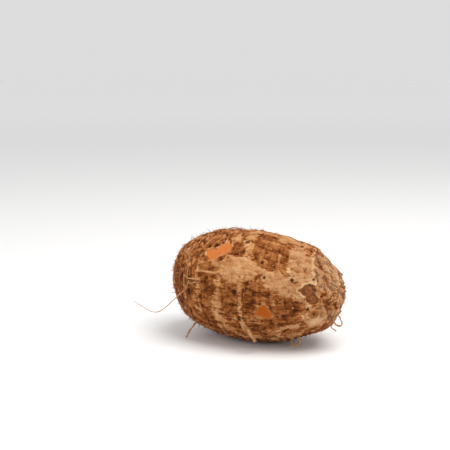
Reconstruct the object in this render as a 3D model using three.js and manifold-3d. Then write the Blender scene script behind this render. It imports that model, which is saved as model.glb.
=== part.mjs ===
// Corm of a taro plant, dug up and dried, lying on its side.
// Millimetres, +Z up, +X from the root end to the crown. The floor is z = 0, and the origin is
// the middle of the small flat spot that the corm rests on.
// A place on the skin is given as way and turn: way is the distance along the skin from the tip
// of the root end, and turn is the angle round the axis from the top, growing towards -Y.

import Module from "manifold-3d";
import * as THREE from "three";
import { mergeVertices } from "three/addons/utils/BufferGeometryUtils.js";

const wasm = await Module();
wasm.setup();

const { clamp, degToRad, lerp, seededRandom, smoothstep } = THREE.MathUtils;

// Driving dimensions

const LENGTH = 128;
// Half outline: distance along the axis, and radius there. It ends in the hollow of the crown.
const OUTLINE = [
  [0, 0], [2.5, 15.8], [10, 28.2], [24, 35.6], [43, 39.7], [64, 41.2], [85, 38.3],
  [102, 33.1], [113, 29.4], [121, 20.5], [125.8, 13.2], [127.6, 8.8], [126, 0],
];
// The axis sags and lifts a little, so the corm isn't a turned shape.
const AXIS = [[-61.9, 3.2, 37.9], [-19.2, 2.6, 47], [23.4, -4.9, 32.1], [66.1, 3.2, 47.3]];
const COLUMNS = 68;

// Leaf rings, from the root end: way, how far the ring leans and the turn that it leans to, in
// degrees, and the height of its ridge.
const RINGS = [
  { way: 20, lean: 1.5, to: 40, high: 0.5 },
  { way: 32, lean: 2.0, to: 220, high: 0.6 },
  { way: 48.2, lean: 3.9, to: 246, high: 0.8 },
  { way: 59.8, lean: 5.1, to: 198, high: 0.9 },
  { way: 79.2, lean: 5.1, to: 282, high: 0.9 },
  { way: 90.5, lean: 2.0, to: 143, high: 0.9 },
  { way: 101.5, lean: 1.5, to: 130, high: 0.35 },
  { way: 111.7, lean: 2.2, to: 133, high: 0.9 },
  { way: 123.3, lean: 1.3, to: 99, high: 0.7 },
  { way: 132.3, lean: 0.6, to: 51, high: 0.7 },
  { way: 140.6, lean: 2.0, to: 110, high: 1.2 },
  { way: 151.7, lean: 5.2, to: 70, high: 0.8 },
];
// A ridge across: distance from the ring's line, the share of its height, and how strong the
// wrinkles are there.
const RIDGE = [[-2.2, 0, 0.6], [0, 1, 0.35], [1.5, -0.35, 0]];
// Rows that follow no ring, at the old root scar and in the hollow of the crown.
const ROOT_SCAR_WAYS = [4.5, 9.5, 14];
const RIM_WAY = 163.2;
const HOLLOW_WAYS = [166, 169];
const RAGGED_RIM = 0.7;
// No two rows are further apart than this.
const ROW_GAP = 5.2;

const WRINKLE = 1;
const LUMP = 0.55;
// The skin is smooth and unbroken this close to the middle of the spot it rests on, then as rough
// as elsewhere.
const RUBBED = [9, 22];

// Root pits and other dents: way, turn in degrees, radius and depth.
const PITS = [
  [64.9, 36, 1.9, 1.6], [73.3, 53, 1.3, 1.0], [87.5, 29, 1.9, 1.7], [87.5, 84, 1.9, 1.7],
  [107, 66, 1.5, 1.5], [103.6, 50, 1.5, 1.2], [140.6, 65, 1.3, 1.0], [125.7, 66, 1.4, 1.3],
  [133.4, 104, 1.1, 0.9], [90.9, 112, 2.2, 1.5],
  [58, 205, 1.9, 1.6], [71, 262, 1.9, 1.7], [84, 231, 1.7, 1.5], [97, 300, 1.9, 1.7],
  [118, 248, 1.6, 1.4], [128, 318, 1.5, 1.3], [69, 338, 1.8, 1.6], [106, 215, 1.6, 1.3],
];
const PIT_SIDES = 6;
// How far a pit's cone and a scrape's block stand over the skin that they are cut from.
const PIT_OVER = 0.7;
const SCRAPE_OVER = 5;

// Patches where the bark is scraped or flaked off: place, outline in mm along the corm and round
// it, and depth.
const SCRAPES = [
  {
    way: 70, turn: 44, depth: 0.5,
    outline: [[-10.5, 2], [-11, -0.5], [-8.5, -3], [-4, -2], [-2.5, -4], [-1.5, -6.5], [2.5, -8],
      [5.5, -8], [8, -3.5], [7, 0.5], [3.5, 2], [1, 3.5], [-1, 5.5], [-3.5, 7.5], [-7, 6.5]],
  },
  {
    way: 107, turn: 104, depth: 0.5,
    outline: [[-5.5, 0.5], [-3, -4.5], [-0.5, -6], [2, -5], [5.5, 2], [3, 4.5], [0, 4.5], [-4.5, 2]],
  },
  {
    way: 136, turn: 84, depth: 0.5,
    outline: [[-6.5, -3], [-4, -4], [-2, -6], [1, -7], [4.5, -5.5], [5.5, -2], [4, 1], [5.5, 4.5],
      [4.5, 8], [-1, 7.5], [-2, 5], [-1.5, 2.5], [-3.5, 0.5]],
  },
  {
    way: 96, turn: 262, depth: 0.6,
    outline: [[-9, 2], [-5, -5], [3, -6], [10, -2], [7, 4], [-1, 6]],
  },
];

// Sleeping side buds: way, turn in degrees and radius.
const BUDS = [[136.3, 113, 3.8], [118, 205, 3.6], [100, 275, 3.4], [126, 335, 3.2]];
const BUD_SIDES = 8;
// A bud from its top to its sunk foot: radius and height as shares of the bud's radius.
const BUD_PROFILE = [[0, 0.5], [0.34, 0.4], [0.5, 0.1], [0.85, 0.26], [1.1, -0.1], [1.1, -0.6], [0, -0.6]];

// Roots that stand off the skin, by points in the part's frame.
const FREE_ROOTS = [
  {
    thick: 2.1, tip: 2.7,
    path: [[4.6, -36, 25.6], [7.2, -40.6, 22.5], [10.6, -41.2, 19.2], [15, -36.6, 9.3]],
  },
  {
    thick: 1.2, tip: 0.8,
    path: [[-38, -17.5, 14.5], [-39.8, -21.2, 11], [-41.6, -24.4, 7.5], [-44.1, -26.4, 2]],
  },
  {
    thick: 1.2, tip: 0.8,
    path: [[-37.5, -31, 43], [-42.2, -36.7, 39.3], [-50.2, -43.5, 30.4], [-58, -44.5, 24.6],
      [-66.5, -43.2, 24.8], [-79.3, -41.9, 29.9]],
  },
  {
    thick: 1.4, tip: 1,
    path: [[37.6, -13, 10.4], [35.6, -16.2, 6.6], [38.6, -18.2, 3], [41.8, -16, 6.2],
      [39.4, -12.6, 9.8]],
  },
  {
    thick: 1.3, tip: 1,
    path: [[60.5, -7.5, 26], [64.7, -9.4, 21.7], [68.3, -10.2, 19.4], [70.3, -7.4, 21],
      [66.5, -4, 25.5]],
  },
  {
    thick: 1.1, tip: 0.8,
    path: [[61.5, -6, 26], [64.2, -8.6, 22], [63.2, -11, 18.4], [66.4, -9, 15.4]],
  },
];
// Roots that creep over the skin, by way, turn in degrees and height over the skin.
const CREEPING_ROOTS = [
  { thick: 1.2, tip: 1, path: [[45.5, 72, -1.5], [48, 76, 1.2], [55.5, 77, 1.5], [60.5, 77, -1]] },
  { thick: 1.2, tip: 1, path: [[47.5, 78, -1.5], [50.5, 81.5, 1.2], [54, 81.5, 1.5], [58.5, 78, -1]] },
  { thick: 1.1, tip: 1, path: [[46, 57, -1.2], [47.5, 65, 0.9], [48, 75, 1.1], [48.7, 86, 0.4]] },
  { thick: 1.1, tip: 0.8, path: [[50, 12, -1.5], [53, 8, 1.2], [58, 2, 1.7], [62, -3, 0.5]] },
  { thick: 1.1, tip: 0.8, path: [[60, 4, -1.5], [62, -2, 1.2], [66, -5, 1.8], [71, -4, 0.5]] },
];
// More creeping roots on the side turned away: where they start, and how long they are.
const BACK_ROOTS = 7;
const BACK_ROOT = { ways: [30, 120], turns: [195, 330], reach: [9, 20], swing: 26, thick: [1, 1.8] };
const ROOT_SIDES = 4;
const ROOT_STEP = 6;

// Cut stubs of roots: how many, where, and their size.
const STUBS = {
  count: 20, ways: [26, 122], turns: [176, 345], radius: [0.8, 1.5], length: [1.6, 4.2], lean: 0.5,
};
const STUB_SIDES = 5;
const SUNK = 2;
// Stubs and roots stay this high over the floor.
const CLEARANCE = 0.8;
const SKIN_SEED = 41;
const GROWTH_SEED = 12;

const colors = { bark: 0x9a6a42 };

// The skin

const outline = new THREE.SplineCurve(OUTLINE.map(([far, radius]) => new THREE.Vector2(far, radius)));
outline.arcLengthDivisions = 1200;
const axis = new THREE.CubicBezierCurve3(...AXIS.map((p) => new THREE.Vector3(...p)));
const skinWay = outline.getLength();

function skinFrame(way, turn) {
  const share = clamp(way / skinWay, 0, 1);
  const place = outline.getPointAt(share);
  const slope = outline.getTangentAt(share);
  const along = clamp(place.x / LENGTH, 0, 1);
  const ahead = axis.getTangent(along);
  const side = new THREE.Vector3(0, 0, 1).cross(ahead).normalize();
  const up = ahead.clone().cross(side);
  const radial = up.multiplyScalar(Math.cos(turn)).addScaledVector(side, -Math.sin(turn));
  const normal = radial.clone().multiplyScalar(slope.x).addScaledVector(ahead, -slope.y);
  const point = axis.getPoint(along).addScaledVector(radial, place.y);
  point.addScaledVector(ahead, place.x - along * LENGTH);
  const lengthwise = radial.clone().multiplyScalar(slope.y).addScaledVector(ahead, slope.x);
  return { point, normal, lengthwise };
}

function skinPoint(way, turn, lift) {
  const { point, normal } = skinFrame(way, turn);
  return point.addScaledVector(normal, lift);
}

// Broad lumps, slow along the corm and round it.
function lumps(way, turn) {
  const first = Math.sin(way / 17 + 2 * turn + 1);
  const second = Math.sin(way / 11 - 3 * turn + 2.2);
  return LUMP * (0.6 * first + 0.4 * second) * smoothstep(way, 5, 40);
}

// A row of the mesh: its way is base + c cos(turn) + s sin(turn), its ridge has a height, and
// bark says how strong the wrinkles are on it.
function row(way, c, s, rise, bark) {
  return { way, c, s, rise, bark };
}

function between(a, b, share, bark) {
  return row(lerp(a.way, b.way, share), lerp(a.c, b.c, share), lerp(a.s, b.s, share), 0, bark);
}

function skinRows() {
  const fixed = ROOT_SCAR_WAYS.map((way) => row(way, 0, 0, 0, 0.4));
  for (const ring of RINGS) {
    const c = ring.lean * Math.cos(degToRad(ring.to));
    const s = ring.lean * Math.sin(degToRad(ring.to));
    for (const [offset, share, bark] of RIDGE) {
      fixed.push(row(ring.way + offset, c, s, share * ring.high, bark));
    }
  }
  fixed.push(row(RIM_WAY, 0, 0, RAGGED_RIM, 0));
  fixed.push(...HOLLOW_WAYS.map((way) => row(way, 0, 0, 0, 0)));
  const rows = [fixed[0]];
  for (const next of fixed.slice(1)) {
    const last = rows.at(-1);
    const steps = Math.ceil((next.way - last.way) / ROW_GAP);
    for (let k = 1; k < steps; k += 1) {
      rows.push(between(last, next, k / steps, 1));
    }
    rows.push(next);
  }
  return rows;
}

// The torn edge of the crown, round it.
function ragged(turn) {
  return 1 + 0.6 * Math.sin(3 * turn + 2.5) + 0.5 * Math.sin(7 * turn + 1);
}

// One set of lengthwise wrinkles for each band between two rings.
function wrinkleSet() {
  const heights = Array.from({ length: COLUMNS }, () => randFloatSeeded(-1, 0.7));
  return heights.map((height) => height * WRINKLE);
}

function randFloatSeeded(low, high) {
  return lerp(low, high, seededRandom());
}

function skinGeometry() {
  const rows = skinRows();
  const positions = [];
  const push = (point) => positions.push(point.x, point.y, point.z);
  push(skinPoint(0, 0, 0));
  let wrinkles = wrinkleSet();
  for (const line of rows) {
    if (line.bark === 0) {
      wrinkles = wrinkleSet();
    }
    for (let j = 0; j < COLUMNS; j += 1) {
      const turn = (2 * Math.PI * j) / COLUMNS;
      const way = line.way + line.c * Math.cos(turn) + line.s * Math.sin(turn);
      const rise = line.way === RIM_WAY ? line.rise * ragged(turn) : line.rise;
      const rough = rise + line.bark * wrinkles[j] + lumps(way, turn);
      const bare = skinPoint(way, turn, 0);
      const rubbed = smoothstep(bare.length(), ...RUBBED);
      push(skinPoint(way, turn, rough * rubbed));
    }
  }
  push(skinPoint(skinWay, 0, 0));
  const indices = [];
  const last = 1 + rows.length * COLUMNS;
  for (let j = 0; j < COLUMNS; j += 1) {
    const k = (j + 1) % COLUMNS;
    indices.push(0, 1 + k, 1 + j);
    for (let i = 0; i + 1 < rows.length; i += 1) {
      const a = 1 + i * COLUMNS;
      const b = a + COLUMNS;
      indices.push(a + j, a + k, b + k, a + j, b + k, b + j);
    }
    const end = last - COLUMNS;
    indices.push(last, end + j, end + k);
  }
  const geometry = new THREE.BufferGeometry();
  geometry.setAttribute("position", new THREE.Float32BufferAttribute(positions, 3));
  geometry.setIndex(indices);
  return geometry;
}

// Growths and marks on the skin

// Lays a shape on the skin: its X runs along the corm, its Y round it and its Z outward.
function onSkin(geometry, way, turn, lift) {
  const { point, normal, lengthwise } = skinFrame(way, turn);
  const round = normal.clone().cross(lengthwise);
  const frame = new THREE.Matrix4().makeBasis(lengthwise, round, normal);
  frame.setPosition(point.addScaledVector(normal, lift + lumps(way, turn)));
  return geometry.applyMatrix4(frame);
}

function pit([way, degrees, radius, depth]) {
  const wide = radius * (1 + PIT_OVER / depth);
  const cone = new THREE.ConeGeometry(wide, depth + PIT_OVER, PIT_SIDES);
  cone.rotateX(-Math.PI / 2);
  return onSkin(cone, way, degToRad(degrees), (PIT_OVER - depth) / 2);
}

function scrape({ way, turn, depth, outline: points }) {
  // Round the corm, turn grows to the side that the shape's Y points away from.
  const shape = new THREE.Shape(points.map(([x, y]) => new THREE.Vector2(x, -y)));
  const tall = depth + SCRAPE_OVER;
  const block = new THREE.ExtrudeGeometry(shape, { depth: tall, bevelEnabled: false });
  return onSkin(block, way, degToRad(turn), -depth);
}

function bud([way, degrees, radius]) {
  const profile = BUD_PROFILE.map(([r, z]) => new THREE.Vector2(r * radius, z * radius)).reverse();
  const dome = new THREE.LatheGeometry(profile, BUD_SIDES);
  dome.rotateX(Math.PI / 2);
  return onSkin(dome, way, degToRad(degrees), 0);
}

// A root: a few-sided tube along a path, thinner towards its tip.
function root(points, thick, tip) {
  const path = new THREE.CatmullRomCurve3(points, false, "centripetal");
  const steps = Math.max(3, Math.round(path.getLength() / ROOT_STEP));
  const { normals, binormals } = path.computeFrenetFrames(steps, false);
  const positions = [];
  const indices = [];
  for (let i = 0; i <= steps; i += 1) {
    const centre = path.getPointAt(i / steps);
    const radius = lerp(thick, tip, i / steps) / 2;
    for (let j = 0; j < ROOT_SIDES; j += 1) {
      const angle = (2 * Math.PI * j) / ROOT_SIDES;
      const point = centre.clone().addScaledVector(normals[i], radius * Math.cos(angle));
      point.addScaledVector(binormals[i], radius * Math.sin(angle));
      positions.push(point.x, point.y, point.z);
    }
  }
  const first = path.getPointAt(0);
  const last = path.getPointAt(1);
  positions.push(first.x, first.y, first.z, last.x, last.y, last.z);
  const start = ROOT_SIDES * (steps + 1);
  for (let j = 0; j < ROOT_SIDES; j += 1) {
    const k = (j + 1) % ROOT_SIDES;
    indices.push(start, k, j);
    for (let i = 0; i < steps; i += 1) {
      const a = i * ROOT_SIDES;
      const b = a + ROOT_SIDES;
      indices.push(a + j, a + k, b + k, a + j, b + k, b + j);
    }
    const end = steps * ROOT_SIDES;
    indices.push(start + 1, end + j, end + k);
  }
  const geometry = new THREE.BufferGeometry();
  geometry.setAttribute("position", new THREE.Float32BufferAttribute(positions, 3));
  geometry.setIndex(indices);
  return geometry;
}

function freeRoot({ thick, tip, path }) {
  return root(path.map((p) => new THREE.Vector3(...p)), thick, tip);
}

function creepingRoot({ thick, tip, path }) {
  const points = path.map(([way, turn, lift]) => {
    const round = degToRad(turn);
    return skinPoint(way, round, lift + lumps(way, round));
  });
  return root(points, thick, tip);
}

function backRoot() {
  const way = randFloatSeeded(...BACK_ROOT.ways);
  const turn = randFloatSeeded(...BACK_ROOT.turns);
  const reach = randFloatSeeded(...BACK_ROOT.reach) * (seededRandom() < 0.5 ? -1 : 1);
  const swing = randFloatSeeded(-BACK_ROOT.swing, BACK_ROOT.swing);
  const thick = randFloatSeeded(...BACK_ROOT.thick);
  const path = [
    [way, turn, -SUNK],
    [way + 0.12 * reach, turn + 0.1 * swing, 1.8],
    [way + 0.5 * reach, turn + 0.5 * swing, 2.6],
    [way + reach, turn + swing, 1.2],
  ];
  return creepingRoot({ thick, tip: 0.7 * thick, path });
}

function stub() {
  const way = randFloatSeeded(...STUBS.ways);
  const turn = degToRad(randFloatSeeded(...STUBS.turns));
  const radius = randFloatSeeded(...STUBS.radius);
  const length = randFloatSeeded(...STUBS.length);
  const peg = new THREE.CylinderGeometry(0.8 * radius, radius, length + SUNK, STUB_SIDES);
  peg.rotateX(Math.PI / 2);
  peg.translate(0, 0, (length - SUNK) / 2);
  peg.rotateX(randFloatSeeded(-STUBS.lean, STUBS.lean));
  peg.rotateY(randFloatSeeded(-STUBS.lean, STUBS.lean));
  return onSkin(peg, way, turn, 0);
}

function clearsFloor(geometry) {
  geometry.computeBoundingBox();
  return geometry.boundingBox.min.z > CLEARANCE;
}

// Joining and cutting

function solid(geometry) {
  const bare = geometry.clone();
  bare.deleteAttribute("normal");
  bare.deleteAttribute("uv");
  const merged = mergeVertices(bare, 1e-4);
  return new wasm.Manifold(new wasm.Mesh({
    numProp: 3,
    vertProperties: merged.attributes.position.array,
    triVerts: new Uint32Array(merged.index.array),
  }));
}

function geometryOf(manifold) {
  const mesh = manifold.getMesh();
  const geometry = new THREE.BufferGeometry();
  geometry.setAttribute("position", new THREE.BufferAttribute(mesh.vertProperties, 3));
  geometry.setIndex(new THREE.BufferAttribute(mesh.triVerts, 1));
  geometry.computeVertexNormals();
  return geometry;
}

seededRandom(SKIN_SEED);
const skin = skinGeometry();
const marks = [...PITS.map(pit), ...SCRAPES.map(scrape)];
seededRandom(GROWTH_SEED);
const growths = [
  ...BUDS.map(bud),
  ...FREE_ROOTS.map(freeRoot),
  ...CREEPING_ROOTS.map(creepingRoot),
  ...Array.from({ length: BACK_ROOTS }, backRoot),
  ...Array.from({ length: STUBS.count }, stub),
].filter(clearsFloor);

const scarred = solid(skin).subtract(wasm.Manifold.union(marks.map(solid)));
const grown = scarred.add(wasm.Manifold.union(growths.map(solid)));
// Where a root bends back on itself it can close off a speck of space: only the corm is kept.
const pieces = grown.trimByPlane([0, 0, 1], 0).decompose();
const whole = pieces.reduce((best, piece) => (piece.volume() > best.volume() ? piece : best));
const corm = new THREE.Mesh(
  geometryOf(whole),
  new THREE.MeshStandardMaterial({ color: colors.bark, roughness: 0.85, metalness: 0 }),
);
corm.name = "corm";

const taro = new THREE.Group();
taro.add(corm);

export default taro;
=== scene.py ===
# %% [markdown]
# # A taro corm
# A taro corm is the swollen underground stem of the plant: egg-shaped, brown, ringed by the scars
# of old leaves, and hung with cut and dried roots. This lesson starts from the solid model, which
# is faceted and has one plain colour, and dresses it: a fine skin with rings, wrinkles and scars,
# then roots, fibres and crumbs of soil, and a finish for each. All lengths are in millimetres
# until they go into a mesh, because that is how such marks are measured on the real thing.

# %% Load the frame
import math
from types import SimpleNamespace

import bpy
import numpy as np
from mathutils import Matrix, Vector


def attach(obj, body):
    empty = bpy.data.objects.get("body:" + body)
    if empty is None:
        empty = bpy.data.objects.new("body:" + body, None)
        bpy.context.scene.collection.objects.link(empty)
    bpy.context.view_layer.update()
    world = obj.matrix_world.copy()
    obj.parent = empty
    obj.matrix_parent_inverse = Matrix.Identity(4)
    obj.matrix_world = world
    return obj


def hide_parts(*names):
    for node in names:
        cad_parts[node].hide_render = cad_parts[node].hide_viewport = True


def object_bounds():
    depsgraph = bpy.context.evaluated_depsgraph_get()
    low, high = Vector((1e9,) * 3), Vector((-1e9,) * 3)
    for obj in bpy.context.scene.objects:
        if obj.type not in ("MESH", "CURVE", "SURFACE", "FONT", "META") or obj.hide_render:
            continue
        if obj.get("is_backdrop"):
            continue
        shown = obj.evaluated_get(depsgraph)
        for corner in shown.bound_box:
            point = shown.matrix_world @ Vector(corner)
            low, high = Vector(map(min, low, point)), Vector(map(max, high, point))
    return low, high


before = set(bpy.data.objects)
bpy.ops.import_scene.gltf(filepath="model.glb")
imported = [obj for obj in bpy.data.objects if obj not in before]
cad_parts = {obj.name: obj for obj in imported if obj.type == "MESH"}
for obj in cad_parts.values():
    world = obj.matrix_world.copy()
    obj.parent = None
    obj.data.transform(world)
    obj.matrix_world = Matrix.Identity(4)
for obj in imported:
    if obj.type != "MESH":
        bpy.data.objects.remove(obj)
solid_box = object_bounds()
MM = 0.001
print("solid box in metres:", [[round(x, 4) for x in corner] for corner in solid_box])

# %% [markdown]
# ## Camera
# The corm was taken with a longish lens, from a little above and from the crown's side, so that
# its root end turns away. The camera stands on that line of sight. It looks past the corm to the
# left, because the corm lay right of and below the middle of the picture.

# %% Camera
LENS = 70
EYE = (0.2328, -0.5929, 0.1971)
TURNED_LEFT = 23.41
TIPPED_DOWN = 9.90
CLIP = (0.01, 20)


def link(name, data):
    """A new object in the scene, at the origin."""
    thing = bpy.data.objects.new(name, data)
    bpy.context.scene.collection.objects.link(thing)
    return thing


def make_camera():
    data = bpy.data.cameras.new("camera")
    data.lens = LENS
    data.clip_start, data.clip_end = CLIP
    camera = link("camera", data)
    camera.location = EYE
    camera.rotation_euler = (math.radians(90 - TIPPED_DOWN), 0, math.radians(TURNED_LEFT))
    bpy.context.scene.camera = camera


make_camera()
print("camera is", round(Vector(EYE).length, 3), "m from the resting spot")

# %% [markdown]
# ## Signs that build nodes
# Relief and colour below are sums of many small patterns. Written as nodes by hand they fill
# pages, so one small class wraps a socket and lets the ordinary signs add the Math nodes. The same
# class serves Geometry Nodes and shaders, because both take Math, Map Range and Noise nodes.

# %% Wires
class Wire:
    """An output socket that sums can be written with."""

    def __init__(self, board, socket):
        self.board = board
        self.socket = socket

    def math(self, operation, *others):
        return self.board.add("ShaderNodeMath", {"operation": operation}, dict(enumerate((self, *others))))

    def __add__(self, other):
        return self.math("ADD", other)

    def __sub__(self, other):
        return self.math("SUBTRACT", other)

    def __mul__(self, other):
        return self.math("MULTIPLY", other)

    def __rsub__(self, other):
        return self.board.add("ShaderNodeMath", {"operation": "SUBTRACT"}, {0: other, 1: self})

    def __abs__(self):
        return self.math("ABSOLUTE")

    __radd__ = __add__
    __rmul__ = __mul__

    def smaller(self, other):
        return self.math("MINIMUM", other)

    def larger(self, other):
        return self.math("MAXIMUM", other)

    def clamped(self):
        return self.larger(0).smaller(1)

    def ease(self, low, high):
        """0 at low and before, 1 at high and after, smooth between. low may be above high."""
        settings = {"interpolation_type": "SMOOTHSTEP"}
        return self.board.add("ShaderNodeMapRange", settings, {0: self, 1: low, 2: high})
print("a wire sums with + - * and abs, and picks the smaller or larger of two")

# %% Boards
# Noise comes as 0 to 1 but mostly stays near the middle, so it is centred and spread out. Most of
# it then stays within the reach on either side.
NOISE_SPREAD = 3.2
NOISE_REACH = 0.7
# A place in metres, times this, is in mm.
TO_MM = (1000, 1000, 1000)


class Board:
    """A node tree that nodes are added to by one method."""

    def __init__(self, tree):
        self.tree = tree

    def plug(self, socket, value):
        if isinstance(value, Wire):
            self.tree.links.new(value.socket, socket)
        else:
            socket.default_value = value

    def add(self, kind, settings=None, inputs=None, out=0):
        """A new node: its settings are set first, then its sockets get values or wires."""
        node = self.tree.nodes.new(kind)
        for name, value in (settings or {}).items():
            if name == "stops":
                self.fill_ramp(node.color_ramp, value)
            else:
                setattr(node, name, value)
        for key, value in (inputs or {}).items():
            self.plug(node.inputs[key], value)
        return Wire(self, node.outputs[out]) if len(node.outputs) else node

    def fill_ramp(self, ramp, stops):
        while len(ramp.elements) > len(stops):
            ramp.elements.remove(ramp.elements[-1])
        while len(ramp.elements) < len(stops):
            ramp.elements.new(1)
        for element, (place, color) in zip(ramp.elements, stops):
            element.position = place
            element.color = color

    def stretch(self, vector, factors):
        return self.add("ShaderNodeVectorMath", {"operation": "MULTIPLY"}, {0: vector, 1: factors})

    def scaled(self, vector, factor):
        return self.add("ShaderNodeVectorMath", {"operation": "SCALE"}, {0: vector, "Scale": factor})

    def axis(self, vector, which):
        """One of a vector's three numbers."""
        return self.add("ShaderNodeSeparateXYZ", {}, {0: vector}, out=which)

    def spot(self):
        """The place that is being shaped or painted, in mm."""
        if self.tree.type == "GEOMETRY":
            return self.stretch(self.add("GeometryNodeInputPosition"), TO_MM)
        return self.stretch(self.add("ShaderNodeTexCoord", {}, {}, out="Object"), TO_MM)

    def noise(self, vector, cells, detail=3, rough=0.55, swirl=0.0):
        """Noise about 0, mostly from -0.7 to 0.7. cells to a mm, one number or one for each axis."""
        factors = cells if isinstance(cells, tuple) else (cells, cells, cells)
        inputs = {"Vector": self.stretch(vector, factors), "Scale": 1.0, "Detail": detail}
        inputs.update({"Roughness": rough, "Distortion": swirl})
        return (self.add("ShaderNodeTexNoise", {}, inputs) - 0.5) * NOISE_SPREAD


print("a board adds any node: its kind, its settings, then the values of its sockets")

# %% [markdown]
# ## The shape under the skin
# The corm is a half outline swung round an axis that sags and rises a little. A place on the skin
# is then two numbers: its way from the tip of the root end, measured along the skin, and its turn
# round the axis, counted from the top towards the front. Every mark below is placed with these
# two, as one would find it again with a tape laid on the real corm.

# %% Outline and axis
LENGTH = 128
OUTLINE = [
    (0, 0), (2.5, 15.8), (10, 28.2), (24, 35.6), (43, 39.7), (64, 41.2), (85, 38.3),
    (102, 33.1), (113, 29.4), (121, 20.5), (125.8, 13.2), (127.6, 8.8), (126, 0),
]
AXIS = [(-61.9, 3.2, 37.9), (-19.2, 2.6, 47), (23.4, -4.9, 32.1), (66.1, 3.2, 47.3)]
OUTLINE_STEPS = 1200


def through_points(points, share):
    """A smooth curve through the points, at shares from 0 to 1."""
    points = np.asarray(points, float)
    last = len(points) - 1
    place = np.clip(share, 0, 1) * last
    i = np.minimum(place.astype(int), last - 1)
    w = (place - i)[:, None]
    p0 = points[np.maximum(i - 1, 0)]
    p1 = points[i]
    p2 = points[i + 1]
    p3 = points[np.minimum(i + 2, last)]
    v1 = (p2 - p0) / 2
    v2 = (p3 - p1) / 2
    return (2 * p1 - 2 * p2 + v1 + v2) * w**3 + (3 * p2 - 3 * p1 - 2 * v1 - v2) * w**2 + v1 * w + p1


half_outline = through_points(OUTLINE, np.linspace(0, 1, OUTLINE_STEPS + 1))
outline_steps = np.linalg.norm(np.diff(half_outline, axis=0), axis=1)
outline_ways = np.concatenate([[0], np.cumsum(outline_steps)])
SKIN_WAY = outline_ways[-1]
print("from the tip of the root end to the hollow of the crown:", round(SKIN_WAY, 1), "mm")

# %% Places on the skin
SLOPE_STEP = 0.2


def far_and_radius(way):
    far = np.interp(way, outline_ways, half_outline[:, 0])
    radius = np.interp(way, outline_ways, half_outline[:, 1])
    return far, radius


def unit(vectors):
    return vectors / np.linalg.norm(vectors, axis=-1, keepdims=True)


def skin_frame(way, turn):
    """The point on the skin, the way out of it and the way along it, for arrays of way and turn."""
    way, turn = np.broadcast_arrays(np.asarray(way, float), np.asarray(turn, float))
    shape = way.shape
    way = way.ravel()
    turn = turn.ravel()
    far, radius = far_and_radius(way)
    far_after, radius_after = far_and_radius(way + SLOPE_STEP)
    far_before, radius_before = far_and_radius(way - SLOPE_STEP)
    slope = unit(np.stack([far_after - far_before, radius_after - radius_before], axis=1))
    t = np.clip(far / LENGTH, 0, 1)
    a, b, c, d = (np.array(p) for p in AXIS)
    s = t[:, None]
    centre = (1 - s) ** 3 * a + 3 * (1 - s) ** 2 * s * b + 3 * (1 - s) * s**2 * c + s**3 * d
    ahead = unit((1 - s) ** 2 * (b - a) + 2 * (1 - s) * s * (c - b) + s**2 * (d - c))
    side = unit(np.cross((0, 0, 1), ahead))
    up = np.cross(ahead, side)
    radial = up * np.cos(turn)[:, None] - side * np.sin(turn)[:, None]
    out = radial * slope[:, :1] - ahead * slope[:, 1:]
    along = radial * slope[:, 1:] + ahead * slope[:, :1]
    point = centre + ahead * (far - t * LENGTH)[:, None] + radial * radius[:, None]
    return tuple(v.reshape(shape + (3,)) for v in (point, out, along))


def ease(value, low, high):
    share = np.clip((value - low) / (high - low), 0, 1)
    return share * share * (3 - 2 * share)


# height of the lumps in mm, and where they grow from nothing at the root end
LUMP = 0.55
LUMP_GROWS = (5, 40)


def lumps(way, turn):
    """Broad lumps, slow along the corm and round it."""
    first = np.sin(way / 17 + 2 * turn + 1)
    second = np.sin(way / 11 - 3 * turn + 2.2)
    return LUMP * (0.6 * first + 0.4 * second) * ease(way, *LUMP_GROWS)


def on_skin(way, degrees, lift=0.0):
    """A point over the skin, from its way, its turn in degrees and its height."""
    turn = np.radians(degrees)
    point, out, _ = skin_frame(way, turn)
    lift = np.asarray(lift, float) + lumps(np.asarray(way, float), turn)
    return point + out * lift[..., None]


print("the crown ends at", on_skin(SKIN_WAY, 0).round(1), "mm")

# %% [markdown]
# ## Marks that the skin carries
# Leaf rings lean a little, so each has a line of its own round the corm. Scraped, flaked and whole
# papery patches are outlines laid on the skin, and smaller pale or dark areas are soft ovals. Each
# becomes a number stored at every point of the skin: a distance to the edge, in millimetres, or a
# strength. Numbers like these serve the relief and the colour alike, so both keep to the same
# edges.

# %% Rings
# way, how far the ring leans, the turn that it leans to, and the height of its ridge
RINGS = np.array([
    (20, 1.5, 40, 0.5),
    (32, 2.0, 220, 0.6),
    (48.2, 3.9, 246, 0.8),
    (59.8, 5.1, 198, 0.9),
    (79.2, 5.1, 282, 0.9),
    (90.5, 2.0, 143, 0.9),
    (101.5, 1.5, 130, 0.35),
    (111.7, 2.2, 133, 0.9),
    (123.3, 1.3, 99, 0.7),
    (132.3, 0.6, 51, 0.7),
    (140.6, 2.0, 110, 1.2),
    (151.7, 5.2, 70, 0.8),
    (163.2, 0, 0, 0.9),
])

# Where a ring still has its pale papery edge: ring, first and last turn in degrees, strength.
RING_ARCS = [
    (2, 35, 112, 0.4), (3, 45, 118, 0.65), (4, 66, 155, 0.55), (4, -10, 24, 0.5), (5, 84, 128, 1.0),
    (5, -5, 52, 0.8), (7, 14, 40, 0.3), (7, 74, 100, 0.4), (7, 118, 160, 0.6), (8, 22, 74, 0.75),
    (9, 26, 72, 0.8), (10, 0, 76, 1.4), (10, 98, 136, 0.6), (11, 40, 155, 1.1), (12, 40, 160, 1.1),
    (3, 190, 250, 0.7), (4, 215, 300, 0.8), (5, 175, 225, 0.7), (7, 200, 290, 0.9), (8, 250, 340, 0.8),
    (9, 190, 240, 0.8), (10, 180, 330, 1.0), (11, 170, 300, 0.8), (1, 60, 200, 0.4), (0, 80, 320, 0.3),
]


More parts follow.
